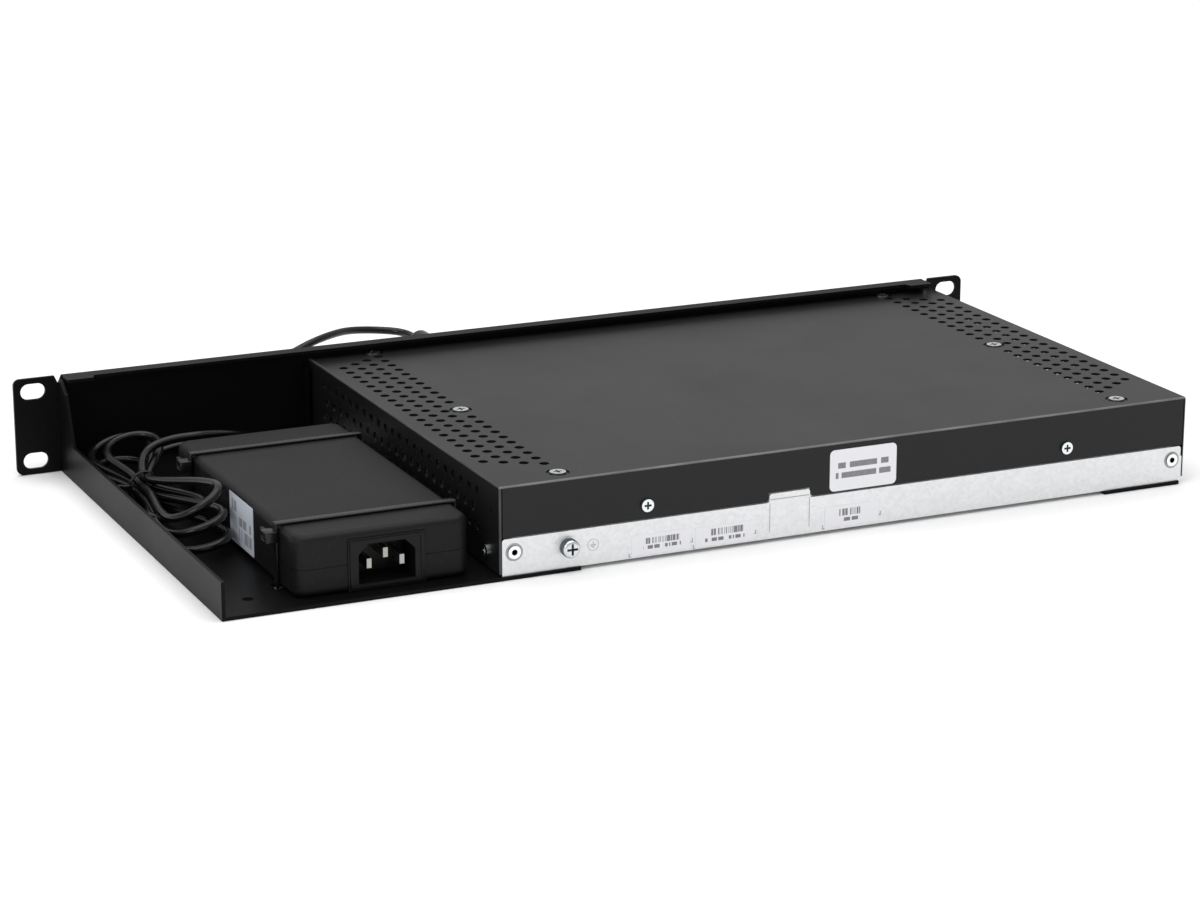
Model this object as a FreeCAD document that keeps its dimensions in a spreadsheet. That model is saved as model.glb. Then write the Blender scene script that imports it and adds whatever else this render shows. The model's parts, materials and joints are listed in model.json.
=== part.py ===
"""Rack tray kit with a firewall appliance, its power adapter and its low voltage cord.

Millimetres. X runs along the rack, +Y to the rear, +Z up. The origin is on the plane where
the ears meet the rack posts, half way between the four ear slots.
"""
import FreeCAD, Part
import math
import os
import Sketcher

Vector = FreeCAD.Vector
doc = FreeCAD.newDocument("firewall_appliance_kit")
sheet = doc.addObject("Spreadsheet::Sheet", "Sizes")

# Every driving dimension, with what it is. Heights are measured from the tray's underside.
DRIVING_SIZES = (
    ("panel_width", 482.6, "19 inch front panel"),
    ("panel_height", 44.0, "one rack unit panel"),
    ("rack_mid", 22.0, "height of the middle of the ear slots"),
    ("slot_span", 465.1, "ear slots, centre to centre along the rack"),
    ("slot_rise", 31.75, "ear slots, centre to centre in height"),
    ("slot_length", 11.3, "ear slot, end to end"),
    ("slot_width", 7.3, "ear slot, across"),
    ("tray_sheet", 1.5, "tray sheet thickness"),
    ("tray_half", 221.3, "tray centre to the outer face of its side"),
    ("tray_depth", 225.0, "ear plane to the floor's rear edge"),
    ("side_height", 16.0, "side wall height"),
    ("gusset_top", 37.6, "height of the top of the side wall's slope"),
    ("gusset_front", 11.4, "where the slope starts"),
    ("gusset_rear", 20.6, "where the slope ends"),
    ("lip_depth", 5.5, "top lip, behind the ear plane"),
    ("lip_tab_depth", 9.5, "deeper tab at each end of the lip"),
    ("lip_half", 219.0, "centre to the end of the lip"),
    ("box_left", 103.6, "appliance side next to the adapter"),
    ("box_right", 223.8, "appliance side away from the adapter, on -X"),
    ("box_bottom", 1.5, "appliance underside, on the tray floor"),
    ("box_top", 39.4, "top of the appliance's cover"),
    ("box_front", 0.3, "appliance front face"),
    ("box_rear", 224.3, "appliance rear face"),
    ("box_sheet", 1.0, "appliance sheet thickness"),
    ("fold_radius", 0.9, "outer radius of the cover's folds"),
    ("flange_bottom", 17.7, "lower edge of the cover's rear flange"),
    ("vent_pitch", 8.59, "vent holes along the appliance"),
    ("vent_row", 7.24, "vent columns, centre to centre"),
    ("vent_radius", 2.1, "vent hole radius"),
    ("vent_inset", 8.3, "outermost vent column from the cover's side"),
    ("vent_first", 24.7, "first hole of the outermost column"),
    ("wall_vent_top", 31.4, "height of the upper vent row in the side walls"),
    ("adapter_left", 188.1, "adapter side next to the tray's wall"),
    ("adapter_right", 113.0, "adapter side next to the appliance"),
    ("adapter_front", 64.5, "adapter end with the cord"),
    ("adapter_rear", 217.0, "adapter end with the inlet"),
    ("adapter_top", 27.0, "adapter top"),
    ("adapter_seam", 13.2, "height of the seam between its shells"),
    ("adapter_wall", 2.2, "adapter shell thickness"),
    ("adapter_corner", 6.0, "adapter corner radius"),
    ("adapter_edge", 2.8, "rounding of the adapter's top and bottom edges"),
    ("cord_radius", 1.8, "low voltage cord radius"),
    ("jack_height", 31.9, "height of the power jack's axis"),
    ("jack_across", 35.0, "power jack's axis along the rack"),
    ("board_bottom", 8.0, "underside of the main board"),
    ("board_sheet", 1.6, "main board thickness"),
    ("button_travel", 0.8, "reset button travel"),
)


class Size:
    """A length that is known both as a number and as an expression on the sheet."""

    def __init__(self, text, value):
        self.text = text
        self.value = value

    def __add__(self, other):
        return combine(self, "+", other)

    def __radd__(self, other):
        return combine(other, "+", self)

    def __sub__(self, other):
        return combine(self, "-", other)

    def __rsub__(self, other):
        return combine(other, "-", self)

    def __mul__(self, other):
        return combine(self, "*", other)

    def __rmul__(self, other):
        return combine(other, "*", self)

    def __truediv__(self, other):
        return combine(self, "/", other)

    def __neg__(self):
        return combine(0, "-", self)


def as_size(number):
    """Wrap a plain number, so that it can be used beside sizes from the sheet."""
    if isinstance(number, Size):
        return number
    return Size(f"({float(number):.6f})", float(number))


def combine(left, sign, right):
    """Work out one operation on two sizes, as a number and as an expression."""
    left = as_size(left)
    right = as_size(right)
    results = {"+": left.value + right.value, "-": left.value - right.value,
               "*": left.value * right.value}
    value = results[sign] if sign in results else left.value / right.value
    return Size(f"({left.text} {sign} {right.text})", value)


size = {}
for row, (alias, number, meaning) in enumerate(DRIVING_SIZES, start=1):
    sheet.set(f"A{row}", meaning)
    sheet.set(f"B{row}", str(number))
    sheet.setAlias(f"B{row}", alias)
    size[alias] = Size(f"Sizes.{alias}", number)
doc.recompute()

MID = size["rack_mid"]
SHEET = size["tray_sheet"]
METAL = size["box_sheet"]
sub_parts = []


def bind(item, path, length):
    """Set one property of an object from the sheet."""
    item.setExpression(path, as_size(length).text)


def keep(item, node_name):
    """List a finished object as a sub-part under its node's name."""
    item.Label = node_name
    sub_parts.append(item)
    return item


# ---- Part primitives, placed by corner or by axis --------------------------------------------

def block(across, along, height):
    """Make a box from three (low, high) pairs: X, Y and Z."""
    item = doc.addObject("Part::Box", "Block")
    for name, axis, (low, high) in (("Length", "x", across), ("Width", "y", along),
                                    ("Height", "z", height)):
        bind(item, name, as_size(high) - low)
        start = as_size(low) - MID if axis == "z" else low
        bind(item, f"Placement.Base.{axis}", start)
    return item


TURNS = {"x": FreeCAD.Rotation(Vector(0, 1, 0), 90), "y": FreeCAD.Rotation(Vector(1, 0, 0), -90),
         "z": FreeCAD.Rotation()}


def place_on_axis(item, axis, centre, low):
    """Stand a round primitive at a point, along an axis. The point's own axis value is unused."""
    item.Placement = FreeCAD.Placement(Vector(), TURNS[axis])
    for letter, position in zip("xyz", centre):
        start = low if letter == axis else position
        start = as_size(start) - MID if letter == "z" else start
        bind(item, f"Placement.Base.{letter}", start)


def rod(axis, centre, low, high, radius):
    """Make a cylinder along an axis between two positions on it."""
    item = doc.addObject("Part::Cylinder", "Rod")
    bind(item, "Radius", radius)
    bind(item, "Height", as_size(high) - low)
    place_on_axis(item, axis, centre, low)
    return item


def taper(axis, centre, low, high, low_radius, high_radius):
    """Make a cone frustum along an axis between two positions on it."""
    item = doc.addObject("Part::Cone", "Taper")
    bind(item, "Radius1", low_radius)
    bind(item, "Radius2", high_radius)
    bind(item, "Height", as_size(high) - low)
    place_on_axis(item, axis, centre, low)
    return item


def hexagon(centre, low, high, across_flats):
    """Make an upright hexagonal post."""
    item = doc.addObject("Part::Prism", "Hexagon")
    item.Polygon = 6
    bind(item, "Circumradius", as_size(across_flats) / math.sqrt(3))
    bind(item, "Height", as_size(high) - low)
    place_on_axis(item, "z", centre, low)
    return item


def fuse(*items):
    """Join solids into one."""
    joined = doc.addObject("Part::MultiFuse", "Joined")
    joined.Shapes = list(items)
    joined.Refine = True
    return joined


def cut(base, *tools):
    """Take one or more solids away from another."""
    tool = tools[0] if len(tools) == 1 else group(*tools)
    item = doc.addObject("Part::Cut", "Shaped")
    item.Base = base
    item.Tool = tool
    return item


def group(*items):
    """Hold separate solids together as one object."""
    item = doc.addObject("Part::Compound", "Group")
    item.Links = list(items)
    return item


def fillet(item, radius, chosen):
    """Round the edges of an object that the test picks."""
    doc.recompute()
    numbers = [n for n, edge in enumerate(item.Shape.Edges, start=1) if chosen(edge)]
    rounded = doc.addObject("Part::Fillet", "Rounded")
    rounded.Base = item
    rounded.Edges = [(n, radius, radius) for n in numbers]
    return rounded


def copies(node_name, original, shifts):
    """Repeat a bound original at several places, as separate solids of one sub-part."""
    doc.recompute()
    solids = []
    for shift in shifts:
        solid = original.Shape.copy()
        solid.translate(Vector(*shift))
        solids.append(solid)
    item = doc.addObject("Part::Feature", node_name)
    item.Shape = Part.makeCompound(solids)
    return keep(item, node_name)


# ---- PartDesign bodies -----------------------------------------------------------------------

def new_body(node_name):
    """Start a PartDesign body that stands at the tray underside's height."""
    body = doc.addObject("PartDesign::Body", node_name)
    bind(body, "Placement.Base.z", -MID)
    return keep(body, node_name)


def new_sketch(body, plane, offset):
    """Attach a sketch to one of the body's origin planes, moved along the plane's normal."""
    sketch = body.newObject("Sketcher::SketchObject", "Outline")
    support = [f for f in body.Origin.OriginFeatures if f.Role == plane]
    sketch.AttachmentSupport = [(support[0], "")]
    sketch.MapMode = "FlatFace"
    bind(sketch, "AttachmentOffset.Base.z", offset)
    return sketch


def fix_point(sketch, geometry, point, x, y):
    """Hold a sketch point at a place from the sheet. None leaves that direction free."""
    for kind, length in (("DistanceX", x), ("DistanceY", y)):
        if length is None:
            continue
        length = as_size(length)
        number = sketch.addConstraint(Sketcher.Constraint(kind, -1, 1, geometry, point, length.value))
        sketch.setExpression(f"Constraints[{number}]", length.text)


def draw_polygon(sketch, points):
    """Draw a closed outline through points whose places come from the sheet."""
    corners = [Vector(as_size(x).value, as_size(y).value, 0) for x, y in points]
    first = sketch.GeometryCount
    count = len(corners)
    for n in range(count):
        sketch.addGeometry(Part.LineSegment(corners[n], corners[(n + 1) % count]), False)
    for n in range(count):
        following = first + (n + 1) % count
        sketch.addConstraint(Sketcher.Constraint("Coincident", first + n, 2, following, 1))
        fix_point(sketch, first + n, 1, *points[n])


def draw_rectangle(sketch, across, up):
    """Draw a rectangle from two (low, high) pairs."""
    (left, right), (low, high) = across, up
    draw_polygon(sketch, [(left, low), (right, low), (right, high), (left, high)])


def draw_circle(sketch, x, y, radius):
    """Draw a circle whose place and size come from the sheet."""
    centre = Vector(as_size(x).value, as_size(y).value, 0)
    number = sketch.addGeometry(Part.Circle(centre, Vector(0, 0, 1), as_size(radius).value), False)
    fix_point(sketch, number, 3, x, y)
    fixed = sketch.addConstraint(Sketcher.Constraint("Radius", number, as_size(radius).value))
    sketch.setExpression(f"Constraints[{fixed}]", as_size(radius).text)


def draw_slot(sketch, x, y, half_run, radius):
    """Draw a level slot: two straight sides joined by half circles."""
    x, y, half_run, radius = (as_size(length) for length in (x, y, half_run, radius))
    first = sketch.GeometryCount
    for side in (-1, 1):
        left = Vector((x - half_run).value, (y + radius * side).value, 0)
        right = Vector((x + half_run).value, (y + radius * side).value, 0)
        sketch.addGeometry(Part.LineSegment(left, right), False)
    for side, start, end in ((-1, 0.5, 1.5), (1, 1.5, 2.5)):
        centre = Vector((x + half_run * side).value, y.value, 0)
        circle = Part.Circle(centre, Vector(0, 0, 1), radius.value)
        arc = sketch.addGeometry(Part.ArcOfCircle(circle, start * math.pi, end * math.pi), False)
        fix_point(sketch, arc, 3, x + half_run * side, None)
    for line, level in ((first, -1), (first + 1, 1)):
        fix_point(sketch, line, 1, x - half_run, y + radius * level)
        fix_point(sketch, line, 2, x + half_run, y + radius * level)
    for arc, point, line, end in ((first + 2, 2, first, 1), (first + 2, 1, first + 1, 1),
                                  (first + 3, 1, first, 2), (first + 3, 2, first + 1, 2)):
        sketch.addConstraint(Sketcher.Constraint("Coincident", arc, point, line, end))


def add_slab(body, plane, low, high, *drawings):
    """Add material between two positions on a plane's axis. Each drawing is (function, values)."""
    offsets = {"XY_Plane": low, "XZ_Plane": -as_size(high), "YZ_Plane": low}
    sketch = new_sketch(body, plane, offsets[plane])
    for draw, values in drawings:
        draw(sketch, *values)
    pad = body.newObject("PartDesign::Pad", "Sheet")
    pad.Profile = sketch
    bind(pad, "Length", as_size(high) - low)
    body.Tip = pad
    return pad


def cut_slab(body, plane, low, high, *drawings):
    """Remove material between two positions on a plane's axis, and check that some went."""
    doc.recompute()
    before = body.Shape.Volume
    offsets = {"XY_Plane": high, "XZ_Plane": -as_size(low), "YZ_Plane": high}
    sketch = new_sketch(body, plane, offsets[plane])
    for draw, values in drawings:
        draw(sketch, *values)
    pocket = body.newObject("PartDesign::Pocket", "Cutout")
    pocket.Profile = sketch
    bind(pocket, "Length", as_size(high) - low)
    body.Tip = pocket
    doc.recompute()
    if body.Shape.Volume >= before - 0.01:
        raise ValueError(f"a cut-out of {body.Label} removed nothing")
    return pocket


def draw_row(sketch, x, y, radius, step_x, step_y, count):
    """Draw a straight row of equal circles, a step apart."""
    for n in range(count):
        draw_circle(sketch, as_size(x) + as_size(step_x) * n, as_size(y) + as_size(step_y) * n, radius)


def round_edges(body, radius, chosen):
    """Round the body's edges that the test picks."""
    doc.recompute()
    tip = body.Tip
    names = [f"Edge{n}" for n, edge in enumerate(tip.Shape.Edges, start=1) if chosen(edge)]
    rounding = body.newObject("PartDesign::Fillet", "Rounding")
    rounding.Base = (tip, names)
    bind(rounding, "Radius", radius)
    body.Tip = rounding
    return rounding


def upright(edge):
    """Tell whether an edge runs straight up."""
    box = edge.BoundBox
    return box.ZLength > 1 and box.XLength < 0.01 and box.YLength < 0.01


# ---- The rack tray ---------------------------------------------------------------------------

TIE_ROWS = (88.5, 197.0)
TIE_SLOT_LEFT = size["adapter_left"] + 0.8
TIE_SLOT_RIGHT = size["adapter_right"] - 0.8
TIE_SLOT_HALF = 1.7
TRAY_SCREWS = ((86.0, 34.0), (86.0, 200.0), (-204.0, 34.0), (-204.0, 200.0))
PASS_ACROSS = 127.5
PASS_HALF = 8.0
PASS_TOP = 6.2
PASS_REAR = 10.0


def make_rack_tray():
    """Fold the tray: panel with ears, lip, floor, side wall and the window's side tab."""
    half = size["panel_width"] / 2
    tray_half = size["tray_half"]
    height = size["panel_height"]
    body = new_body("rack_tray")
    add_slab(body, "XZ_Plane", -SHEET, 0, (draw_rectangle, ((-half, half), (0, height))))
    add_slab(body, "XY_Plane", 0, SHEET,
             (draw_rectangle, ((-tray_half, tray_half), (-SHEET, size["tray_depth"]))))
    wall_points = [(0, 0), (size["tray_depth"], 0), (size["tray_depth"], size["side_height"]),
                   (size["gusset_rear"], size["side_height"]),
                   (size["gusset_front"], size["gusset_top"]), (4, height - SHEET),
                   (-SHEET, height - SHEET), (-SHEET, 0)]
    add_slab(body, "YZ_Plane", tray_half - SHEET, tray_half, (draw_polygon, (wall_points,)))
    lip_half = size["lip_half"]
    tab_start = lip_half - 11.5
    tab_slope = tab_start - 1.5
    lip_points = [(-lip_half, -SHEET), (lip_half, -SHEET), (lip_half, size["lip_tab_depth"]),
                  (tab_start, size["lip_tab_depth"]), (tab_slope, size["lip_depth"]),
                  (-tab_slope, size["lip_depth"]), (-tab_start, size["lip_tab_depth"]),
                  (-lip_half, size["lip_tab_depth"])]
    add_slab(body, "XY_Plane", height - SHEET, height, (draw_polygon, (lip_points,)))
    window_left = size["box_left"] + 1.8
    add_slab(body, "YZ_Plane", window_left, window_left + SHEET,
             (draw_rectangle, ((-SHEET, 6.5), (9, 36))))
    openings = []
    slot_run = (size["slot_length"] - size["slot_width"]) / 2
    slot_radius = size["slot_width"] / 2
    for side in (-1, 1):
        for level in (-1, 1):
            x = size["slot_span"] / 2 * side
            z = MID + size["slot_rise"] / 2 * level
            openings.append((draw_slot, (x, z, slot_run, slot_radius)))
        # Relief between the ear and the folded lip.
        x = lip_half * side + 1.9 * side
        cut_slab(body, "XZ_Plane", -SHEET, 4.5,
                 (draw_polygon, ([(x - 1.9, height + 0.5), (x, height - 3.8), (x + 1.9, height + 0.5)],)))
    openings.append((draw_rectangle, ((-size["box_right"] + 6, size["box_left"] - 4.5), (5, 38.4))))
    cut_slab(body, "XZ_Plane", -SHEET, 0, *openings)
    # The cord passes to the front through a low notch across the front fold.
    notch = (PASS_ACROSS - PASS_HALF, PASS_ACROSS + PASS_HALF)
    cut_slab(body, "XZ_Plane", -SHEET, PASS_REAR, (draw_rectangle, (notch, (0, PASS_TOP))))
    # The floor is cut back under the appliance and has slots for the ties.
    cut_slab(body, "XY_Plane", 0, SHEET,
             (draw_rectangle, ((-183, 68), (size["tray_depth"] - 38, size["tray_depth"] + 1))))
    floor_holes = [(draw_circle, (x, y, 3.1)) for x, y in TRAY_SCREWS]
    floor_holes.append((draw_circle, (204.8, 207.6, 2.25)))
    for y in TIE_ROWS:
        for x in (TIE_SLOT_LEFT, TIE_SLOT_RIGHT):
            floor_holes.append((draw_rectangle, ((x - TIE_SLOT_HALF, x + TIE_SLOT_HALF), (y - 3.4, y + 3.4))))
    cut_slab(body, "XY_Plane", 0, SHEET, *floor_holes)
    round_edges(body, 3, lambda edge: along_depth(edge)
                and abs(abs(edge.BoundBox.Center.x) - half.value) < 0.1)
    return body


def along_depth(edge):
    """Tell whether an edge runs straight along Y."""
    box = edge.BoundBox
    return box.YLength > 0.9 and box.XLength < 0.01 and box.ZLength < 0.01


# ---- The appliance's sheet metal -------------------------------------------------------------

LEFT = size["box_left"]
RIGHT = -size["box_right"]
FRONT = size["box_front"]
REAR = size["box_rear"]
TOP = size["box_top"]
BOTTOM = size["box_bottom"]
COVER_SCREW_ROWS = (4.6, 111.0, 214.5)
COVER_SCREW_INSET = 30.0
DIMPLE_DEPTH = 0.55
DIMPLE_RADIUS = 4.9
REAR_SCREWS = (38.1, -162.6)
REAR_SCREW_HEIGHT = 23.6
SIDE_SCREW = (210.6, 8.8)
RIVET_NUTS = (97.25, -217.4)
RIVET_NUT_HEIGHT = 11.35
GROUND_SCREW = (73.3, 10.3)
NOTCH = (-37.8, -18.0)
NOTCH_TOP = 21.5


def is_cover_fold(edge):
    """Tell whether an edge is an outer fold of the cover: top to sides and rear, or a rear upright."""
    box = edge.BoundBox
    at_top = abs(box.ZMin - TOP.value) < 0.01
    at_rear = abs(box.YMin - REAR.value) < 0.01
    at_side = box.XLength < 0.01 and min(abs(box.XMin - x.value) for x in (LEFT, RIGHT)) < 0.01
    straight_back = at_top and at_side and box.YLength > 100
    across_rear = at_top and at_rear and box.XLength > 100
    return straight_back or across_rear or (at_rear and at_side and box.ZLength > 10)


def vent_columns(edge_x, inward):
    """List one vent field: for each column its X and the (first Y, count) of its runs of holes."""
    pitch = size["vent_pitch"]
    columns = []
    for column, count in enumerate((20, 21, 22)):
        x = edge_x + (size["vent_inset"] + size["vent_row"] * column) * inward
        columns.append((x, [(size["vent_first"] - pitch * (column / 2), count)]))
    innermost = edge_x + (size["vent_inset"] + size["vent_row"] * 3) * inward
    first = size["vent_first"] - pitch * 1.5
    columns.append((innermost, [(first, 11), (first + pitch * 13, 10)]))
    return columns


def make_cover():
    """Fold the vented cover: top, two sides and a rear flange with a notch."""
    body = new_body("top_cover")
    profile = [(RIGHT, 3.2), (RIGHT + METAL, 3.2), (RIGHT + METAL, TOP - METAL),
               (LEFT - METAL, TOP - METAL), (LEFT - METAL, 2.6), (LEFT, 2.6), (LEFT, TOP), (RIGHT, TOP)]
    add_slab(body, "XZ_Plane", FRONT, REAR, (draw_polygon, (profile,)))
    gap = 1.4
    flange = [(RIGHT + gap, TOP - METAL), (RIGHT + gap, size["flange_bottom"]),
              (NOTCH[0], size["flange_bottom"]), (NOTCH[0], NOTCH_TOP), (NOTCH[1], NOTCH_TOP),
              (NOTCH[1], size["flange_bottom"]), (LEFT - gap, size["flange_bottom"]),
              (LEFT - gap, TOP - METAL)]
    # The corner slits run up beside the flange.
    add_slab(body, "XZ_Plane", REAR - METAL, REAR, (draw_polygon, (flange,)))
    round_edges(body, size["fold_radius"], is_cover_fold)
    round_edges(body, 1.4, lambda edge: along_depth(edge)
                and min(abs(edge.BoundBox.Center.x - x) for x in NOTCH) < 0.01
                and abs(edge.BoundBox.Center.z - size["flange_bottom"].value) < 0.01)
    for side, inward in ((LEFT, -1), (RIGHT, 1)):
        rows = []
        for x, runs in vent_columns(side, inward):
            for first, count in runs:
                rows.append((draw_row, (x, first, size["vent_radius"], 0, size["vent_pitch"], count)))
        screw_x = side + COVER_SCREW_INSET * inward
        rows += [(draw_circle, (screw_x, y, 1.75)) for y in COVER_SCREW_ROWS]
        cut_slab(body, "XY_Plane", TOP - METAL, TOP, *rows)
        cut_slab(body, "XY_Plane", TOP - DIMPLE_DEPTH, TOP,
                 *[(draw_circle, (screw_x, y, DIMPLE_RADIUS)) for y in COVER_SCREW_ROWS])
        outer = side if inward == 1 else side - METAL
        rows = [(draw_circle, hole) for hole in ((*SIDE_SCREW, 1.6), (197.3, 9.7, 1.0), (215.7, 26.9, 1.0))]
        for row in range(3):
            z = size["wall_vent_top"] - size["vent_row"] * row
            first = 20.8 + size["vent_pitch"] * (row % 2) / 2
            rows.append((draw_row, (first, z, size["vent_radius"], size["vent_pitch"], 0, 22 - row % 2)))
        cut_slab(body, "YZ_Plane", outer, outer + METAL, *rows)
    cut_slab(body, "XZ_Plane", REAR - METAL, REAR,
             *[(draw_circle, (x, REAR_SCREW_HEIGHT, 1.6)) for x in REAR_SCREWS])
    return body


def make_base():
    """Fold the plated base: floor, low sides and the rear wall with its tab."""
    body = new_body("base_chassis")
    inner_left = LEFT - METAL - 0.2
    inner_right = RIGHT + METAL + 0.2
    add_slab(body, "XY_Plane", BOTTOM, BOTTOM + METAL,
             (draw_rectangle, ((inner_right, inner_left), (FRONT, REAR))))
    for low in (inner_right, inner_left - METAL):
        add_slab(body, "YZ_Plane", low, low + METAL,
                 (draw_rectangle, ((FRONT, REAR), (BOTTOM, 12.6))))
    rear_top = size["flange_bottom"] - 0.5
    plate_left = LEFT - METAL - 0.1
    plate = [(RIGHT + 1.8, BOTTOM), (plate_left, BOTTOM), (plate_left, rear_top), (RIGHT + 1.8, rear_top)]
    add_slab(body, "XZ_Plane", REAR - METAL, REAR, (draw_polygon, (plate,)))
    # A joggled plate stands behind the cover's flange and takes its two screws.
    inside = REAR - 2 * METAL - 0.15
    add_slab(body, "XZ_Plane", inside, inside + METAL,
             (draw_rectangle, ((RIGHT + 6, LEFT - 6), (14, 30))))
    add_slab(body, "XZ_Plane", inside, REAR - METAL, (draw_rectangle, ((RIGHT + 6, LEFT - 6), (14, 16.6))))
    add_slab(body, "XZ_Plane", inside, REAR, (draw_rectangle, ((NOTCH[0] + 0.4, NOTCH[1] - 0.4), (16, 21))))
    round_edges(body, 1.2, lambda edge: along_depth(edge)
                and abs(edge.BoundBox.YMax - REAR.value) < 0.01
                and edge.BoundBox.Center.z > rear_top.value - 0.01)
    rear_holes = [(draw_circle, (x, RIVET_NUT_HEIGHT, 2.25)) for x in RIVET_NUTS]
    rear_holes.append((draw_circle, (*GROUND_SCREW, 2.02)))
    cut_slab(body, "XZ_Plane", REAR - METAL, REAR, *rear_holes)
    cut_slab(body, "XZ_Plane", inside, inside + METAL,
             *[(draw_circle, (x, REAR_SCREW_HEIGHT, 1.52)) for x in REAR_SCREWS])
    cut_slab(body, "XY_Plane", BOTTOM, BOTTOM + METAL,
             *[(draw_circle, (x, y, 1.52)) for x, y in TRAY_SCREWS])
    for low in (inner_right, inner_left - METAL):
        cut_slab(body, "YZ_Plane", low, low + METAL, (draw_circle, (*SIDE_SCREW, 1.52)),
                 (draw_circle, (197.3, 9.7, 1.0)))
    return body


def make_port_plate():
    """Make the plate at the appliance's front, with a cut-out for each port, lamp and button."""
    body = new_body("port_plate")
    gap = 2 * METAL + 0.3
    add_slab(body, "XZ_Plane", FRONT, FRONT + METAL,
             (draw_rectangle, ((RIGHT + gap, LEFT - gap), (BOTTOM + METAL, 37.9))))
    cutouts = [(draw_rectangle, ((x - across / 2, x + across / 2), (z - up / 2, z + up / 2)))
               for x, z, across, up in FRONT_CUTOUTS]
    round_holes = [(size["jack_across"], size["jack_height"], 5.35), (*RESET_PLACE, 1.5)]
    round_holes += [(x, LIGHT_HEIGHT, 1.35) for x in LIGHT_PLACES]
    cutouts += [(draw_circle, hole) for hole in round_holes]
    cut_slab(body, "XZ_Plane", FRONT, FRONT + METAL, *cutouts)
    return body


# ---- Screws ----------------------------------------------------------------------------------

def cross_recess(axis, centre, low, high, width, reach):
    """Make the two crossed blades that a cross-head driver leaves in a screw head."""
    x, y, z = centre
    blades = []
    for wide in (0, 1):
        half_a = reach if wide else width / 2
        half_b = width / 2 if wide else reach
        if axis == "z":
            blades.append(block((x - half_a, x + half_a), (y - half_b, y + half_b), (low, high)))
        elif axis == "y":
            blades.append(block((x - half_a, x + half_a), (low, high), (z - half_b, z + half_b)))
        else:
            blades.append(block((low, high), (y - half_a, y + half_a), (z - half_b, z + half_b)))
    return fuse(*blades)


def make_cover_screws():
    """Make the screws and posts that hold the cover on."""
    post_x = LEFT - COVER_SCREW_INSET
    first_row = COVER_SCREW_ROWS[0]
    seat = TOP - DIMPLE_DEPTH + 0.03
    head = fuse(rod("z", (post_x, first_row, 0), seat, seat + 0.9, 3.4),
                rod("z", (post_x, first_row, 0), TOP - 6, seat, 1.5))
    screw = cut(head, cross_recess("z", (post_x, first_row, 0), seat + 0.15, seat + 1.1, 0.95, 1.9))
    across = RIGHT.value - LEFT.value + 2 * COVER_SCREW_INSET
    shifts = [(dx, y - first_row, 0) for dx in (0, across) for y in COVER_SCREW_ROWS]
    copies("cover_top_screws", screw, shifts)
    post = cut(hexagon((post_x, first_row, 0), BOTTOM + METAL, TOP - METAL, 6.0),
               rod("z", (post_x, first_row, 0), TOP - 7, TOP, 1.52))
    copies("cover_posts", post, shifts)
    rear = cut(fuse(rod("y", (REAR_SCREWS[0], 0, REAR_SCREW_HEIGHT), REAR + 0.02, REAR + 1.1, 2.7),
                    rod("y", (REAR_SCREWS[0], 0, REAR_SCREW_HEIGHT), REAR - 5, REAR + 0.02, 1.5)),
               cross_recess("y", (REAR_SCREWS[0], 0, REAR_SCREW_HEIGHT), REAR + 0.2, REAR + 1.2, 0.9, 1.6))
    copies("cover_rear_screws", rear, [(0, 0, 0), (REAR_SCREWS[1] - REAR_SCREWS[0], 0, 0)])
    y, z = SIDE_SCREW
    left = cut(fuse(rod("x", (0, y, z), LEFT + 0.02, LEFT + 0.9, 2.8),
                    rod("x", (0, y, z), LEFT - 5, LEFT + 0.02, 1.5)),
               cross_recess("x", (0, y, z), LEFT + 0.3, LEFT + 1, 0.8, 1.6))
    right = cut(fuse(rod("x", (0, y, z), RIGHT - 0.9, RIGHT - 0.02, 2.8),
                     rod("x", (0, y, z), RIGHT - 0.02, RIGHT + 5, 1.5)),
                cross_recess("x", (0, y, z), RIGHT - 1, RIGHT - 0.3, 0.8, 1.6))
    keep(group(left, right), "cover_side_screws")


def make_rear_hardware():
    """Make the rivet nuts, the ground screw and washer, and the labels of the rear face."""
    x = RIVET_NUTS[0]
    nut = cut(fuse(rod("y", (x, 0, RIVET_NUT_HEIGHT), REAR + 0.02, REAR + 0.6, 2.75),
                   rod("y", (x, 0, RIVET_NUT_HEIGHT), REAR - 6, REAR + 0.02, 2.22)),
              rod("y", (x, 0, RIVET_NUT_HEIGHT), REAR - 7, REAR + 1, 1.25))
    copies("rear_rivet_nuts", nut, [(0, 0, 0), (RIVET_NUTS[1] - x, 0, 0)])
    x, z = GROUND_SCREW
    keep(cut(rod("y", (x, 0, z), REAR + 0.02, REAR + 1.1, 4.6),
             rod("y", (x, 0, z), REAR, REAR + 1.2, 2.05)), "ground_washer")
    dome = fillet(rod("y", (x, 0, z), REAR + 1.12, REAR + 4.3, 3.9), 1.6,
                  lambda edge: edge.BoundBox.YLength < 0.01 and edge.BoundBox.Center.y > REAR.value + 3)
    keep(cut(fuse(dome, rod("y", (x, 0, z), REAR - 5, REAR + 1.5, 2.0)),
             cross_recess("y", (x, 0, z), REAR + 2.4, REAR + 5, 1.0, 2.4)), "ground_screw")
    labels = (("rear_label_left", 18.3, 45.1, 2.6, 11.2), ("rear_label_middle", -11.1, 15.8, 2.4, 10.8),
              ("rear_label_right", -70.3, -44.6, 2.9, 11.8), ("seal_label", -78.4, -46.6, 18.3, 36.3))
    for node_name, low, high, bottom, top in labels:
        label = block((low, high), (REAR + 0.02, REAR + 0.17), (bottom, top))
        keep(fillet(label, 2.2 if node_name == "seal_label" else 0.4, lambda edge: edge.BoundBox.YLength > 0.1
                    and edge.BoundBox.XLength < 0.01 and edge.BoundBox.ZLength < 0.01), node_name)


# ---- The main board and what it carries ------------------------------------------------------

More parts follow.
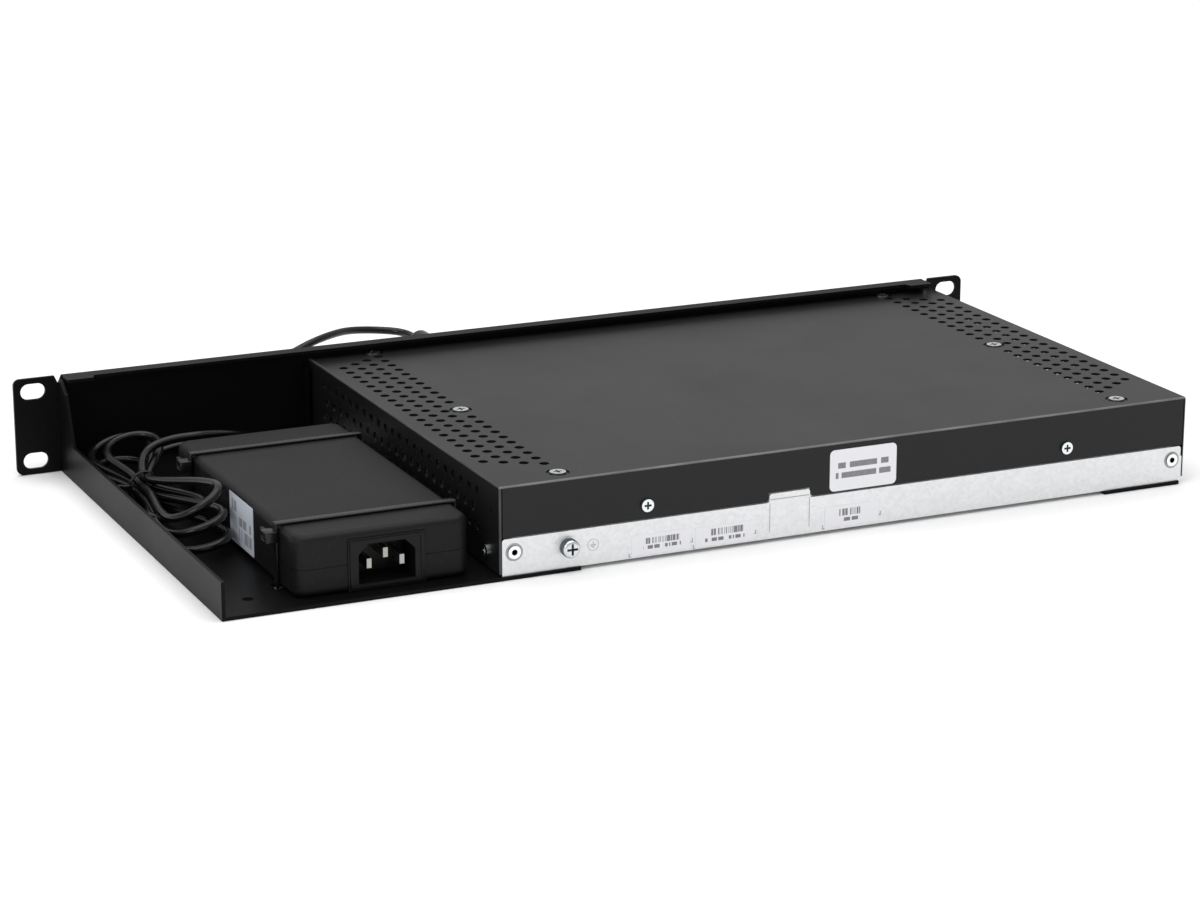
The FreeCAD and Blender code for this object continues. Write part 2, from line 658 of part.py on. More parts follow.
BOARD_TOP = size["board_bottom"] + size["board_sheet"]
BOARD_LEFT = 92.0
BOARD_RIGHT = -212.0
BOARD_FRONT = 3.0
BOARD_REAR = 196.0
JACK_WIDTH = 16.0
JACK_TALL = 13.6
JACK_PITCH = 16.1
BANK_PLACES = (-176.0, -99.0)
BANK_SIZE = 4
JACK_PLACES = tuple(first + JACK_PITCH * n for first in BANK_PLACES for n in range(BANK_SIZE))
CONSOLE_PLACE = -24.0
USB_PLACE = -2.0
RESET_PLACE = (58.0, 15.0)
LIGHT_PLACES = (12.0, 16.5, 21.0, 25.5)
LIGHT_HEIGHT = 15.0
JACK_MIDDLE = size["board_bottom"].value + size["board_sheet"].value + JACK_TALL / 2
BANK_REACH = JACK_PITCH * (BANK_SIZE - 1)
FRONT_CUTOUTS = tuple((first + BANK_REACH / 2, JACK_MIDDLE + 0.05, BANK_REACH + JACK_WIDTH + 0.4, JACK_TALL + 0.4)
                      for first in BANK_PLACES) + (
    (CONSOLE_PLACE, JACK_MIDDLE + 0.05, JACK_WIDTH + 0.4, JACK_TALL + 0.4), (USB_PLACE, 13.4, 14.0, 7.4))


def make_network_jack(x):
    """Make one shielded eight-way jack with its keyed opening."""
    shell = block((x - JACK_WIDTH / 2, x + JACK_WIDTH / 2), (-0.6, 15.5), (BOARD_TOP, BOARD_TOP + JACK_TALL))
    mouth = block((x - 5.9, x + 5.9), (-1, 11.5), (BOARD_TOP + 4.4, BOARD_TOP + 11.4))
    latch = block((x - 3.1, x + 3.1), (-1, 9.0), (BOARD_TOP + 2.0, BOARD_TOP + 4.6))
    return cut(shell, fuse(mouth, latch))


def make_board():
    """Make the main board, its fixings and its parts."""
    board = new_body("main_board")
    add_slab(board, "XY_Plane", size["board_bottom"], BOARD_TOP,
             (draw_rectangle, ((BOARD_RIGHT, BOARD_LEFT), (BOARD_FRONT, BOARD_REAR))))
    fixing_x = (BOARD_RIGHT + 8, -62.0, BOARD_LEFT - 8)
    fixing_y = (22.0, 105.0, BOARD_REAR - 7)
    for x in fixing_x:
        for y in fixing_y:
            cut_slab(board, "XY_Plane", size["board_bottom"], BOARD_TOP, (draw_circle, (x, y, 1.6)))
    # Clearance for the posts of the cover.
    for x in (LEFT - COVER_SCREW_INSET, RIGHT + COVER_SCREW_INSET):
        for y in COVER_SCREW_ROWS[:2]:
            cut_slab(board, "XY_Plane", size["board_bottom"], BOARD_TOP, (draw_circle, (x, y, 4.2)))
    start = (fixing_x[0], fixing_y[0], 0)
    shifts = [(x - start[0], y - start[1], 0) for x in fixing_x for y in fixing_y]
    post = cut(hexagon(start, BOTTOM + METAL, size["board_bottom"], 5.0),
               rod("z", start, BOTTOM + 2 * METAL, size["board_bottom"] + 1, 1.3))
    copies("board_standoffs", post, shifts)
    screw = cut(fuse(rod("z", start, BOARD_TOP + 0.02, BOARD_TOP + 1.9, 2.7),
                     rod("z", start, BOARD_TOP - 4.6, BOARD_TOP + 0.02, 1.25)),
                cross_recess("z", start, BOARD_TOP + 1.0, BOARD_TOP + 2, 0.7, 1.6))
    copies("board_screws", screw, shifts)

    jack = make_network_jack(JACK_PLACES[0])
    copies("network_jacks", jack, [(x - JACK_PLACES[0], 0, 0) for x in JACK_PLACES])
    keep(make_network_jack(CONSOLE_PLACE), "console_jack")
    usb = cut(block((USB_PLACE - 6.7, USB_PLACE + 6.7), (-0.4, 13.5), (BOARD_TOP + 0.1, BOARD_TOP + 7.3)),
              block((USB_PLACE - 6.2, USB_PLACE + 6.2), (-1, 12.0), (BOARD_TOP + 1.0, BOARD_TOP + 6.5)))
    keep(usb, "usb_port")
    axis = (size["jack_across"], 0, size["jack_height"])
    barrel = fuse(rod("y", axis, -0.2, 16, 5.3), rod("y", axis, FRONT + METAL + 0.1, 3.4, 5.9))
    keep(cut(barrel, rod("y", axis, -1, 11, 3.0)), "power_jack")
    keep(rod("y", axis, 1.4, 11.0, 0.95), "power_jack_pin")
    x, z = RESET_PLACE
    keep(cut(block((x - 4, x + 4), (9.5, 17.5), (BOARD_TOP, BOARD_TOP + 8.4)),
             rod("y", (x, 0, z), 9, 16.0, 2.2)), "reset_switch")
    keep(fuse(rod("y", (x, 0, z), 2.0, 9.4, 1.3), rod("y", (x, 0, z), 9.3, 15.0, 2.12)), "reset_button")
    pipe = fuse(rod("y", (LIGHT_PLACES[0], 0, LIGHT_HEIGHT), -0.1, 9, 1.3),
                rod("z", (LIGHT_PLACES[0], 8.2, 0), BOARD_TOP + 0.9, LIGHT_HEIGHT + 0.8, 1.3))
    spread = [(x - LIGHT_PLACES[0], 0, 0) for x in LIGHT_PLACES]
    copies("light_pipes", pipe, spread)
    lamp = block((LIGHT_PLACES[0] - 0.9, LIGHT_PLACES[0] + 0.9), (7.4, 9.0), (BOARD_TOP, BOARD_TOP + 0.8))
    copies("status_lamps", lamp, spread)

    keep(block((-46, -16), (80, 110), (BOARD_TOP, BOARD_TOP + 1.8)), "processor")
    keep(block((-46, -16), (80, 110), (BOARD_TOP + 1.8, BOARD_TOP + 2.8)), "thermal_pad")
    sink = new_body("heat_sink")
    add_slab(sink, "XY_Plane", BOARD_TOP + 2.8, BOARD_TOP + 24, (draw_rectangle, ((-76, 14), (60, 130))))
    channels = [(draw_rectangle, ((-74.2 + 6.05 * n, -70.2 + 6.05 * n), (59, 131))) for n in range(15)]
    cut_slab(sink, "XY_Plane", BOARD_TOP + 6.8, BOARD_TOP + 24, *channels)
    keep(block((-148, -126), (52, 74), (BOARD_TOP, BOARD_TOP + 1.4)), "switch_chip")
    keep(block((-150, -124), (26, 40), (BOARD_TOP, BOARD_TOP + 6.5)), "line_transformers")
    keep(cut(block((30, 38), (60, 130), (BOARD_TOP, BOARD_TOP + 6.4)),
             block((33.2, 35.0), (59, 131), (BOARD_TOP + 1.4, BOARD_TOP + 7))), "memory_socket")
    keep(block((33.3, 34.9), (61, 129), (BOARD_TOP + 1.5, BOARD_TOP + 22)), "memory_module")
    keep(block((-130, -108), (104, 184), (BOARD_TOP + 2.6, BOARD_TOP + 4.6)), "storage_module")
    keep(fuse(block((-131, -107), (98, 105), (BOARD_TOP, BOARD_TOP + 2.55)),
              block((-131, -107), (98, 103.9), (BOARD_TOP + 2.5, BOARD_TOP + 4.6))), "storage_socket")
    coil = fillet(block((48, 58), (60, 70), (BOARD_TOP, BOARD_TOP + 6)), 1.0, upright)
    copies("power_inductors", coil, [(0, 14.0 * n, 0) for n in range(4)])
    can = rod("z", (68, 60, 0), BOARD_TOP, BOARD_TOP + 10, 4.0)
    copies("board_capacitors", can, [(11.0 * a, 13.0 * b, 0) for a in range(2) for b in range(4)])
    keep(cut(rod("z", (60, 150, 0), BOARD_TOP, BOARD_TOP + 3.6, 11.5),
             rod("z", (60, 150, 0), BOARD_TOP + 1.0, BOARD_TOP + 4, 10.1)), "clock_cell_holder")
    keep(rod("z", (60, 150, 0), BOARD_TOP + 1.02, BOARD_TOP + 4.2, 10.0), "clock_cell")


# ---- The tray's fixings, the adapter and its ties --------------------------------------------

ADAPTER_LEFT = size["adapter_left"]
ADAPTER_RIGHT = size["adapter_right"]
ADAPTER_FRONT = size["adapter_front"]
ADAPTER_REAR = size["adapter_rear"]
ADAPTER_TOP = size["adapter_top"]
SEAM = size["adapter_seam"]
WALL = size["adapter_wall"]
INLET_X = 149.3
INLET_Z = 12.6
INLET_DEPTH = 19.0
EXIT_X = 166.0
EXIT_Z = 15.5
RELIEF_LENGTH = 20.0


def make_adapter_shell(node_name, low, high, floor_low, edge_height):
    """Make one shell: a rounded box cut out from its open side, with rounded outer edges."""
    body = new_body(node_name)
    add_slab(body, "XY_Plane", low, high,
             (draw_rectangle, ((ADAPTER_RIGHT, ADAPTER_LEFT), (ADAPTER_FRONT, ADAPTER_REAR))))
    round_edges(body, size["adapter_corner"], upright)
    round_edges(body, size["adapter_edge"], lambda edge: abs(edge.BoundBox.ZMin - edge_height.value) < 0.01
                and abs(edge.BoundBox.ZMax - edge_height.value) < 0.01)
    cut_slab(body, "XY_Plane", floor_low[0], floor_low[1],
             (draw_rectangle, ((ADAPTER_RIGHT + WALL, ADAPTER_LEFT - WALL),
                               (ADAPTER_FRONT + WALL, ADAPTER_REAR - WALL))))
    opening = (draw_rectangle, ((INLET_X - 16.7, INLET_X + 16.7), (0, INLET_Z + 11.2)))
    cut_slab(body, "XZ_Plane", ADAPTER_REAR - INLET_DEPTH - 0.3, ADAPTER_REAR, opening)
    cut_slab(body, "XZ_Plane", ADAPTER_FRONT, ADAPTER_FRONT + WALL, (draw_circle, (EXIT_X, EXIT_Z, 4.3)))
    return body


def make_adapter():
    """Make the power adapter: shells, inlet, pins, board and its large parts."""
    floor = size["tray_sheet"] + 0.05
    make_adapter_shell("adapter_lower_shell", floor, SEAM - 0.1, (floor + WALL, SEAM), floor)
    make_adapter_shell("adapter_upper_shell", SEAM + 0.1, ADAPTER_TOP, (SEAM, ADAPTER_TOP - WALL), ADAPTER_TOP)
    inlet = new_body("adapter_inlet")
    add_slab(inlet, "XZ_Plane", ADAPTER_REAR - INLET_DEPTH, ADAPTER_REAR + 0.3,
             (draw_rectangle, ((INLET_X - 16.5, INLET_X + 16.5), (floor + 0.3, INLET_Z + 11.0))))
    half, low, high, slope = 12.1, INLET_Z - 8.2, INLET_Z + 8.2, 4.2
    socket = [(INLET_X - half, low), (INLET_X + half, low), (INLET_X + half, high - slope),
              (INLET_X + half - slope, high), (INLET_X - half + slope, high),
              (INLET_X - half, high - slope)]
    cut_slab(inlet, "XZ_Plane", ADAPTER_REAR - 15, ADAPTER_REAR + 1, (draw_polygon, (socket,)))
    pins = []
    for x, z in ((INLET_X - 7, INLET_Z - 0.5), (INLET_X, INLET_Z + 3.2), (INLET_X + 7, INLET_Z - 0.5)):
        pins.append(block((x - 1.0, x + 1.0), (ADAPTER_REAR - 14.98, ADAPTER_REAR - 1.5), (z - 2, z + 2)))
    keep(group(*pins), "adapter_inlet_pins")
    middle = (size["adapter_left"] + size["adapter_right"]) / 2
    keep(block((ADAPTER_RIGHT + 4, ADAPTER_LEFT - 4), (ADAPTER_FRONT + 6, ADAPTER_REAR - 21), (5.4, 7.0)),
         "adapter_board")
    keep(fillet(block((middle - 16, middle + 16), (118, 152), (7.0, 22)), 1.5, upright),
         "adapter_transformer")
    caps = [rod("z", (middle + x, y, 0), 7.0, 23.0, radius)
            for x, y, radius in ((-20, 176, 8.5), (-20, 98, 6), (-5, 92, 6), (12, 94, 6))]
    keep(group(*caps), "adapter_capacitors")
    sinks = [block((low, low + 2), (86, 186), (7.0, 22.5)) for low in (ADAPTER_RIGHT + 5, ADAPTER_LEFT - 7)]
    keep(group(*sinks), "adapter_heat_plates")
    keep(block((ADAPTER_LEFT + 0.02, ADAPTER_LEFT + 0.17), (138, 167.5), (4.4, 25.2)), "adapter_label")
    start = (EXIT_X, 0, EXIT_Z)
    collar = fuse(rod("y", start, ADAPTER_FRONT - 2.4, ADAPTER_FRONT + WALL + 2.2, 4.2),
                  rod("y", start, ADAPTER_FRONT + WALL + 0.1, ADAPTER_FRONT + WALL + 2.2, 5.4),
                  taper("y", start, ADAPTER_FRONT - RELIEF_LENGTH, ADAPTER_FRONT - 2.4, 2.3, 3.7))
    keep(collar, "cord_strain_relief")


def make_strap(y):
    """Make one tie: a band over the adapter, from one floor slot to the other, with its head."""
    strap = 1.1
    half_width = 1.9
    left = (ADAPTER_LEFT + 0.25, ADAPTER_LEFT + 0.25 + strap)
    right = (ADAPTER_RIGHT - 0.25 - strap, ADAPTER_RIGHT - 0.25)
    rows = (y - half_width, y + half_width)
    top = ADAPTER_TOP + 0.1
    # The band ends within the floor slots, so nothing stands below the tray.
    head = block((ADAPTER_LEFT + 1.2, ADAPTER_LEFT + 6.2), (y - 3.4, y + 3.4), (20.4, 25.2))
    tail = block((ADAPTER_LEFT + 2.6, ADAPTER_LEFT + 3.9), (y - 8.6, y - 3.3), (22.2, 24.0))
    return fuse(block(left, rows, (0.1, top + strap)), block(right, rows, (0.1, top + strap)),
                block((right[0], left[1]), rows, (top, top + strap)), head, tail)


def make_tray_fixings():
    """Make the ties of the adapter and the screws under the appliance."""
    keep(group(*[make_strap(y) for y in TIE_ROWS]), "adapter_ties")
    x, y = TRAY_SCREWS[0]
    screw = cut(fuse(taper("z", (x, y, 0), 0.1, SHEET, 2.95, 1.5), rod("z", (x, y, 0), 0.2, 7.0, 1.5)),
                cross_recess("z", (x, y, 0), 0, 0.9, 0.7, 1.6))
    copies("appliance_screws", screw, [(a - x, b - y, 0) for a, b in TRAY_SCREWS])


# ---- The low voltage cord --------------------------------------------------------------------

CORD = size["cord_radius"]
PLUG_END = -41.2


def tangent_route(points):
    """Make a wire of straight runs joined by arcs as large as the runs allow, with its radii."""
    points = [Vector(x, y, z - MID.value) for x, y, z in points]
    edges = []
    radii = []
    start = points[0]
    for before, corner, after in zip(points, points[1:], points[2:]):
        to_corner = corner - before
        from_corner = after - corner
        turn = to_corner.getAngle(from_corner)
        reach = 0.45 * min(to_corner.Length, from_corner.Length)
        radii.append(reach / math.tan(turn / 2))
        arc_start = corner - Vector(to_corner).normalize() * reach
        arc_end = corner + Vector(from_corner).normalize() * reach
        inward = (arc_start + arc_end) * 0.5 - corner
        centre_gap = radii[-1] / math.cos(turn / 2)
        centre = corner + Vector(inward).normalize() * centre_gap
        middle = centre - Vector(inward).normalize() * radii[-1]
        edges.append(Part.LineSegment(start, arc_start).toShape())
        edges.append(Part.Arc(arc_start, middle, arc_end).toShape())
        start = arc_end
    edges.append(Part.LineSegment(start, points[-1]).toShape())
    return Part.Wire(edges), radii


def make_tube(node_name, points):
    """Sweep the cord's section along a route, and print what the route measures."""
    wire, radii = tangent_route(points)
    direction = wire.Edges[0].tangentAt(wire.Edges[0].FirstParameter)
    section = Part.Wire([Part.makeCircle(CORD.value, wire.Edges[0].Vertexes[0].Point, direction)])
    tube = wire.makePipeShell([section], True, False)
    expected = math.pi * CORD.value ** 2 * wire.Length
    print(f"{node_name}: length {wire.Length:.1f}, volume ratio {tube.Volume / expected:.4f}, "
          f"radii {', '.join(f'{radius:.1f}' for radius in radii)}")
    item = doc.addObject("Part::Feature", node_name)
    item.Shape = tube
    return keep(item, node_name)


PLUG_AXIS = (size["jack_across"].value, size["jack_height"].value)
LEAD_ROUTE = ((EXIT_X, ADAPTER_FRONT.value - RELIEF_LENGTH, EXIT_Z), (166.3, 36.5, 15.2),
              (172.6, 30.2, 14.4), (181.5, 29.6, 13.2), (190.0, 34.0, 12.2))
RUN_ROUTE = ((195.0, 47.0, 21.5), (186.0, 50.0, 23.6), (175.5, 50.5, 24.0), (164.5, 47.0, 22.6),
             (154.0, 40.5, 19.6), (144.5, 32.0, 15.2), (136.5, 21.5, 10.0), (130.5, 10.0, 5.6),
             (127.5, -4.0, 3.5), (125.5, -16.0, 4.8), (122.5, -25.0, 10.0), (118.0, -30.0, 17.5),
             (112.5, -32.0, 24.5), (105.5, -33.0, 30.3), (97.0, -34.0, 34.0), (87.5, -37.5, 36.3),
             (76.5, -44.0, 36.9), (66.0, -51.4, 36.1), (55.0, -55.9, 34.4), (43.9, -56.4, 32.8),
             (38.2, -53.1, 32.3), (34.97, -47.5, PLUG_AXIS[1]), (PLUG_AXIS[0], PLUG_END, PLUG_AXIS[1]))
# Each hank section: its place along Y, its centre X and height, half width and half height.
HANK_SECTIONS = ((16.5, 204.5, 18.5, 5.5, 3.0), (22.0, 203.5, 18.0, 11.5, 5.5),
                 (30.0, 202.0, 16.0, 14.5, 9.0), (48.0, 202.5, 14.5, 14.0, 9.5), (76.0, 205.0, 10.8, 7.0, 6.2),
                 (108.0, 202.5, 13.5, 12.0, 11.0), (134.0, 202.0, 16.0, 13.2, 13.0),
                 (144.0, 201.0, 14.5, 12.0, 11.0), (157.0, 199.5, 8.5, 8.0, 4.5))
HANK_WAIST = 4


def make_hank():
    """Loft the outer shape of the tied hank through its sections."""
    wires = []
    for y, x, z, half_width, half_height in HANK_SECTIONS:
        centre = Vector(x, y, z - MID.value)
        ellipse = Part.Ellipse(Vector(), half_width, half_height)
        ellipse.rotate(FreeCAD.Placement(Vector(), FreeCAD.Rotation(Vector(1, 0, 0), 90)))
        ellipse.translate(centre)
        wires.append(Part.Wire([ellipse.toShape()]))
    item = doc.addObject("Part::Feature", "cord_hank")
    item.Shape = Part.makeLoft(wires, True, True)
    return keep(item, "cord_hank")


def make_cord():
    """Make the cord's solids, its tie and its plug."""
    make_tube("cord_lead", LEAD_ROUTE)
    make_hank()
    make_tube("cord_run", RUN_ROUTE)
    y, x, z, half_width, half_height = HANK_SECTIONS[HANK_WAIST]
    band = block((x - half_width - 1.6, x + half_width + 1.6), (y - 1.2, y + 1.2),
                 (z - half_height - 1.0, z + half_height + 1.4))
    hollow = block((x - half_width - 0.5, x + half_width + 0.5), (y - 2, y + 2),
                   (z - half_height - 0.3, z + half_height + 0.4))
    head = block((x + half_width - 2, x + half_width + 3), (y - 2.2, y + 2.2),
                 (z + half_height + 1.3, z + half_height + 4.4))
    keep(fuse(cut(band, hollow), head), "cord_tie")
    axis = (size["jack_across"], 0, size["jack_height"])
    grip = fillet(rod("y", axis, -35, -3, 5.4), 1.6, lambda edge: edge.BoundBox.YLength < 0.01)
    keep(fuse(grip, taper("y", axis, PLUG_END, -34.5, 2.2, 4.0)), "plug_grip")
    keep(cut(rod("y", axis, -3, 9.5, 2.75), rod("y", axis, -2, 10, 1.25)), "plug_barrel")


make_rack_tray()
make_cover()
make_base()
make_port_plate()
make_cover_screws()
make_rear_hardware()
make_board()
make_adapter()
make_tray_fixings()
make_cord()
doc.recompute()

for item in doc.Objects:
    if "Invalid" in item.State or "Error" in item.State:
        raise ValueError(f"{item.Name} ({item.Label}) is {item.State}")
os.makedirs("parts", exist_ok=True)
for item in sub_parts:
    if item.Shape.isNull() or not item.Shape.isValid():
        raise ValueError(f"{item.Label} has no valid shape")
    item.Shape.exportStep(f"parts/{item.Label}.step")
print(len(sub_parts), "sub-parts")
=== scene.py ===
"""Firewall appliance in its rack tray: the finishes, the cord and the small details.

Metres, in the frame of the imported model: X along the rack towards the adapter, +Y to the rear,
+Z up. Every place comes from the frame's own boxes or is a named size of the class that uses it.
"""

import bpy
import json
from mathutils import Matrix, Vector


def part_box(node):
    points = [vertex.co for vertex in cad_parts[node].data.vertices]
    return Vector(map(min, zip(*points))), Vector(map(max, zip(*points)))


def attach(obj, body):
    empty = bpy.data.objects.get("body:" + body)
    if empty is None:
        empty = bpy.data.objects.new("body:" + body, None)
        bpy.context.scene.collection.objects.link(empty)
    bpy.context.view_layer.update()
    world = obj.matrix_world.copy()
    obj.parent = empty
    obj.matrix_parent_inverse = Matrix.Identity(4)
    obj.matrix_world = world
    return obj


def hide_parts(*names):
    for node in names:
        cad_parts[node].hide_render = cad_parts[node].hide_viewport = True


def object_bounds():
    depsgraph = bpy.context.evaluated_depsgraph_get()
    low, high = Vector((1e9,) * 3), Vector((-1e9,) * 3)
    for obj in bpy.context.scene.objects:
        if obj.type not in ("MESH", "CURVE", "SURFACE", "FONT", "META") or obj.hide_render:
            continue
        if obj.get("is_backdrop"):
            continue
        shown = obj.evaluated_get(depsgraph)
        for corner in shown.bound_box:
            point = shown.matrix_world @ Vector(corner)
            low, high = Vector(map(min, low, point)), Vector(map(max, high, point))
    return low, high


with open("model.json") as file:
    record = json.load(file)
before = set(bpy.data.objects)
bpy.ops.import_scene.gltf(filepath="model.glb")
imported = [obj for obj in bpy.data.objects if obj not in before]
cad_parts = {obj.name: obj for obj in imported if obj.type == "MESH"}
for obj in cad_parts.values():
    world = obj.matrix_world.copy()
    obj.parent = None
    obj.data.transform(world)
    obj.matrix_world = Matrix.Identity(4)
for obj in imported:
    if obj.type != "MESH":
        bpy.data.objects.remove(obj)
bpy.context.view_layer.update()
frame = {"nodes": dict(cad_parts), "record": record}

import json
import logging
import math
from dataclasses import dataclass, field
from enum import Enum
from typing import Callable

import bpy
from mathutils import Matrix, Vector

logging.basicConfig(level=logging.INFO, format="%(message)s")
LOG = logging.getLogger("appliance")
MM = 0.001
MID_HEIGHT = 22.0
Point = tuple[float, float, float]


def place(x: float, y: float, z: float) -> Vector:
    """Turn millimetres, with the height measured from the tray's underside, into the frame.

    Args:
        x: Place along the rack.
        y: Place to the rear.
        z: Height above the tray's underside.

    Returns:
        The same place in metres in the model's frame.
    """
    return Vector((x * MM, y * MM, (z - MID_HEIGHT) * MM))


BROAD_SIZE = 0.045
BROAD_SHARE = 0.10
FINE_SHARE = 0.12


# ---- Shader expressions ----

class Wire:
    """One output of a node tree that takes part in Python expressions."""

    def __init__(self, book: "NodeBook", socket: bpy.types.NodeSocket) -> None:
        """Hold the socket and the book that its nodes are written in."""
        self.book = book
        self.socket = socket

    def maths(self, operation: str, *others: "Wire | float") -> "Wire":
        """Add one Math node.

        Args:
            operation: The node's operation.
            others: The values after this one.

        Returns:
            The node's result.
        """
        values = dict(enumerate((self, *others)))
        return self.book.node("ShaderNodeMath", {"operation": operation}, values)

    def __add__(self, other: "Wire | float") -> "Wire":
        """Add."""
        return self.maths("ADD", other)

    def __radd__(self, other: float) -> "Wire":
        """Add to a number."""
        return self.maths("ADD", other)

    def __sub__(self, other: "Wire | float") -> "Wire":
        """Subtract."""
        return self.maths("SUBTRACT", other)

    def __rsub__(self, other: float) -> "Wire":
        """Subtract from a number."""
        return self.book.node("ShaderNodeMath", {"operation": "SUBTRACT"}, {0: other, 1: self})

    def __mul__(self, other: "Wire | float") -> "Wire":
        """Multiply."""
        return self.maths("MULTIPLY", other)

    def __rmul__(self, other: float) -> "Wire":
        """Multiply a number."""
        return self.maths("MULTIPLY", other)

    def __gt__(self, other: float) -> "Wire":
        """Give 1 where this is greater, else 0."""
        return self.maths("GREATER_THAN", other)

    def __lt__(self, other: float) -> "Wire":
        """Give 1 where this is less, else 0."""
        return self.maths("LESS_THAN", other)

    def floor(self) -> "Wire":
        """Round down."""
        return self.maths("FLOOR")

    def between(self, low: float, high: float) -> "Wire":
        """Give 1 where this lies between two numbers, else 0."""
        return (self > low) * (self < high)


class NodeBook:
    """Writes the node tree of one material."""

    def __init__(self, name: str) -> None:
        """Start a material with one Principled shader.

        Args:
            name: The material's name.
        """
        self.material = bpy.data.materials.new(name)
        self.material.use_nodes = True
        self.tree = self.material.node_tree
        self.shader = self.tree.nodes["Principled BSDF"]

    def node(self, kind: str, settings: dict[str, object], values: dict[int | str, object],
             output: int | str = 0) -> Wire:
        """Add any node.

        Args:
            kind: The node's type.
            settings: Its settings, set first. A "stops" entry fills a ramp.
            values: A number, a vector or a wire for each socket, by place or name.
            output: Which result to give back.

        Returns:
            The chosen output.
        """
        made = self.tree.nodes.new(kind)
        for name, value in settings.items():
            if name == "stops":
                self.fill_ramp(made, value)
            else:
                setattr(made, name, value)
        for name, value in values.items():
            self.feed(made.inputs[name], value)
        return Wire(self, made.outputs[output])

    @staticmethod
    def fill_ramp(node: bpy.types.Node, stops: list[tuple[float, float]]) -> None:
        """Set a ramp's stops.

        Args:
            node: The ramp's node.
            stops: Pairs of place and grey value.
        """
        elements = node.color_ramp.elements
        while len(elements) > len(stops):
            elements.remove(elements[-1])
        while len(elements) < len(stops):
            elements.new(1.0)
        for element, (position, grey) in zip(elements, stops):
            element.position = position
            element.color = (grey, grey, grey, 1.0)

    def feed(self, socket: bpy.types.NodeSocket, value: object) -> None:
        """Link a wire to a socket, or set the socket's own value.

        Args:
            socket: The socket.
            value: A wire, a number, a vector or a colour.
        """
        if isinstance(value, Wire):
            self.tree.links.new(value.socket, socket)
        elif isinstance(value, tuple) and len(value) == 3 and socket.type == "RGBA":
            socket.default_value = (*value, 1.0)
        else:
            socket.default_value = value

    def set(self, **values: object) -> None:
        """Feed the Principled shader's sockets, with spaces written as underscores."""
        for name, value in values.items():
            self.feed(self.shader.inputs[name.replace("_", " ")], value)

    def coordinates(self) -> Wire:
        """Give the object coordinates, in metres."""
        return self.node("ShaderNodeTexCoord", {}, {}, "Object")

    def axes(self, vector: Wire) -> tuple[Wire, Wire, Wire]:
        """Split a vector.

        Args:
            vector: The vector.

        Returns:
            Its three numbers.
        """
        split = self.node("ShaderNodeSeparateXYZ", {}, {0: vector})
        outputs = split.socket.node.outputs
        return tuple(Wire(self, outputs[n]) for n in range(3))

    def noise(self, vector: Wire, size: float, detail: float = 2.0, roughness: float = 0.5) -> Wire:
        """Give noise whose features are about one size across.

        Args:
            vector: Where the noise is read.
            size: The size of a feature, in metres.
            detail: How many finer layers it has.
            roughness: How strong the finer layers are.

        Returns:
            The noise, from 0 to 1.
        """
        values = {"Vector": vector, "Scale": 1 / size, "Detail": detail, "Roughness": roughness}
        return self.node("ShaderNodeTexNoise", {}, values)

    def stretched(self, vector: Wire, factors: Point) -> Wire:
        """Scale a vector along each axis."""
        return self.node("ShaderNodeVectorMath", {"operation": "MULTIPLY"}, {0: vector, 1: factors})

    def ramp(self, value: Wire, stops: list[tuple[float, float]]) -> Wire:
        """Map a value through grey stops."""
        return self.node("ShaderNodeValToRGB", {"stops": stops}, {0: value})

    def mix(self, factor: Wire, low: Point | Wire, high: Point | Wire) -> Wire:
        """Mix two colours.

        Args:
            factor: How much of the second, from 0 to 1.
            low: The first colour.
            high: The second colour.

        Returns:
            The mixed colour.
        """
        return self.node("ShaderNodeMix", {"data_type": "RGBA"}, {0: factor, 6: low, 7: high}, 2)

    def bump(self, height: Wire, distance: float, strength: float = 1.0) -> Wire:
        """Turn a height into a normal.

        Args:
            height: The height, from 0 to 1.
            distance: The height's full size, in metres.
            strength: How much of it shows.

        Returns:
            The normal.
        """
        values = {"Height": height, "Distance": distance, "Strength": strength}
        return self.node("ShaderNodeBump", {}, values)


def shade(colour: Point, factor: float) -> Point:
    """Make a colour darker or lighter."""
    return tuple(min(1.0, channel * factor) for channel in colour)


def uneven(roughness: float, broad: Wire, fine: Wire) -> Wire:
    """Vary a coat's roughness a little with its broad and its fine noise."""
    return roughness + (broad - 0.5) * BROAD_SHARE + (fine - 0.5) * FINE_SHARE


# ---- Finishes ----

@dataclass(frozen=True)
class Coated:
    """A powder coat or textured plastic: an even colour with fine grain and faint unevenness."""

    name: str
    colour: Point
    roughness: float
    grain: float = 0.0006
    depth: float = 0.00002
    spread: float = 0.08
    dust: float = 0.04
    specular: float = 0.5
    dust_colour: Point = (0.32, 0.32, 0.33)

    def build(self) -> bpy.types.Material:
        """Write the material.

        Returns:
            The finished material.
        """
        book = NodeBook(self.name)
        where = book.coordinates()
        broad = book.noise(where, BROAD_SIZE, 3.0)
        fine = book.noise(where, self.grain, 3.0, 0.6)
        speck = book.ramp(book.noise(where, self.grain * 2.2, 1.0), [(0.62, 0.0), (0.72, 1.0)])
        base = book.mix(broad, shade(self.colour, 1 - self.spread), shade(self.colour, 1 + self.spread))
        tone = book.mix(speck * self.dust, base, self.dust_colour)
        book.set(Base_Color=tone, Roughness=uneven(self.roughness, broad, fine),
                 Specular_IOR_Level=self.specular, Normal=book.bump(fine, self.depth))
        return book.material


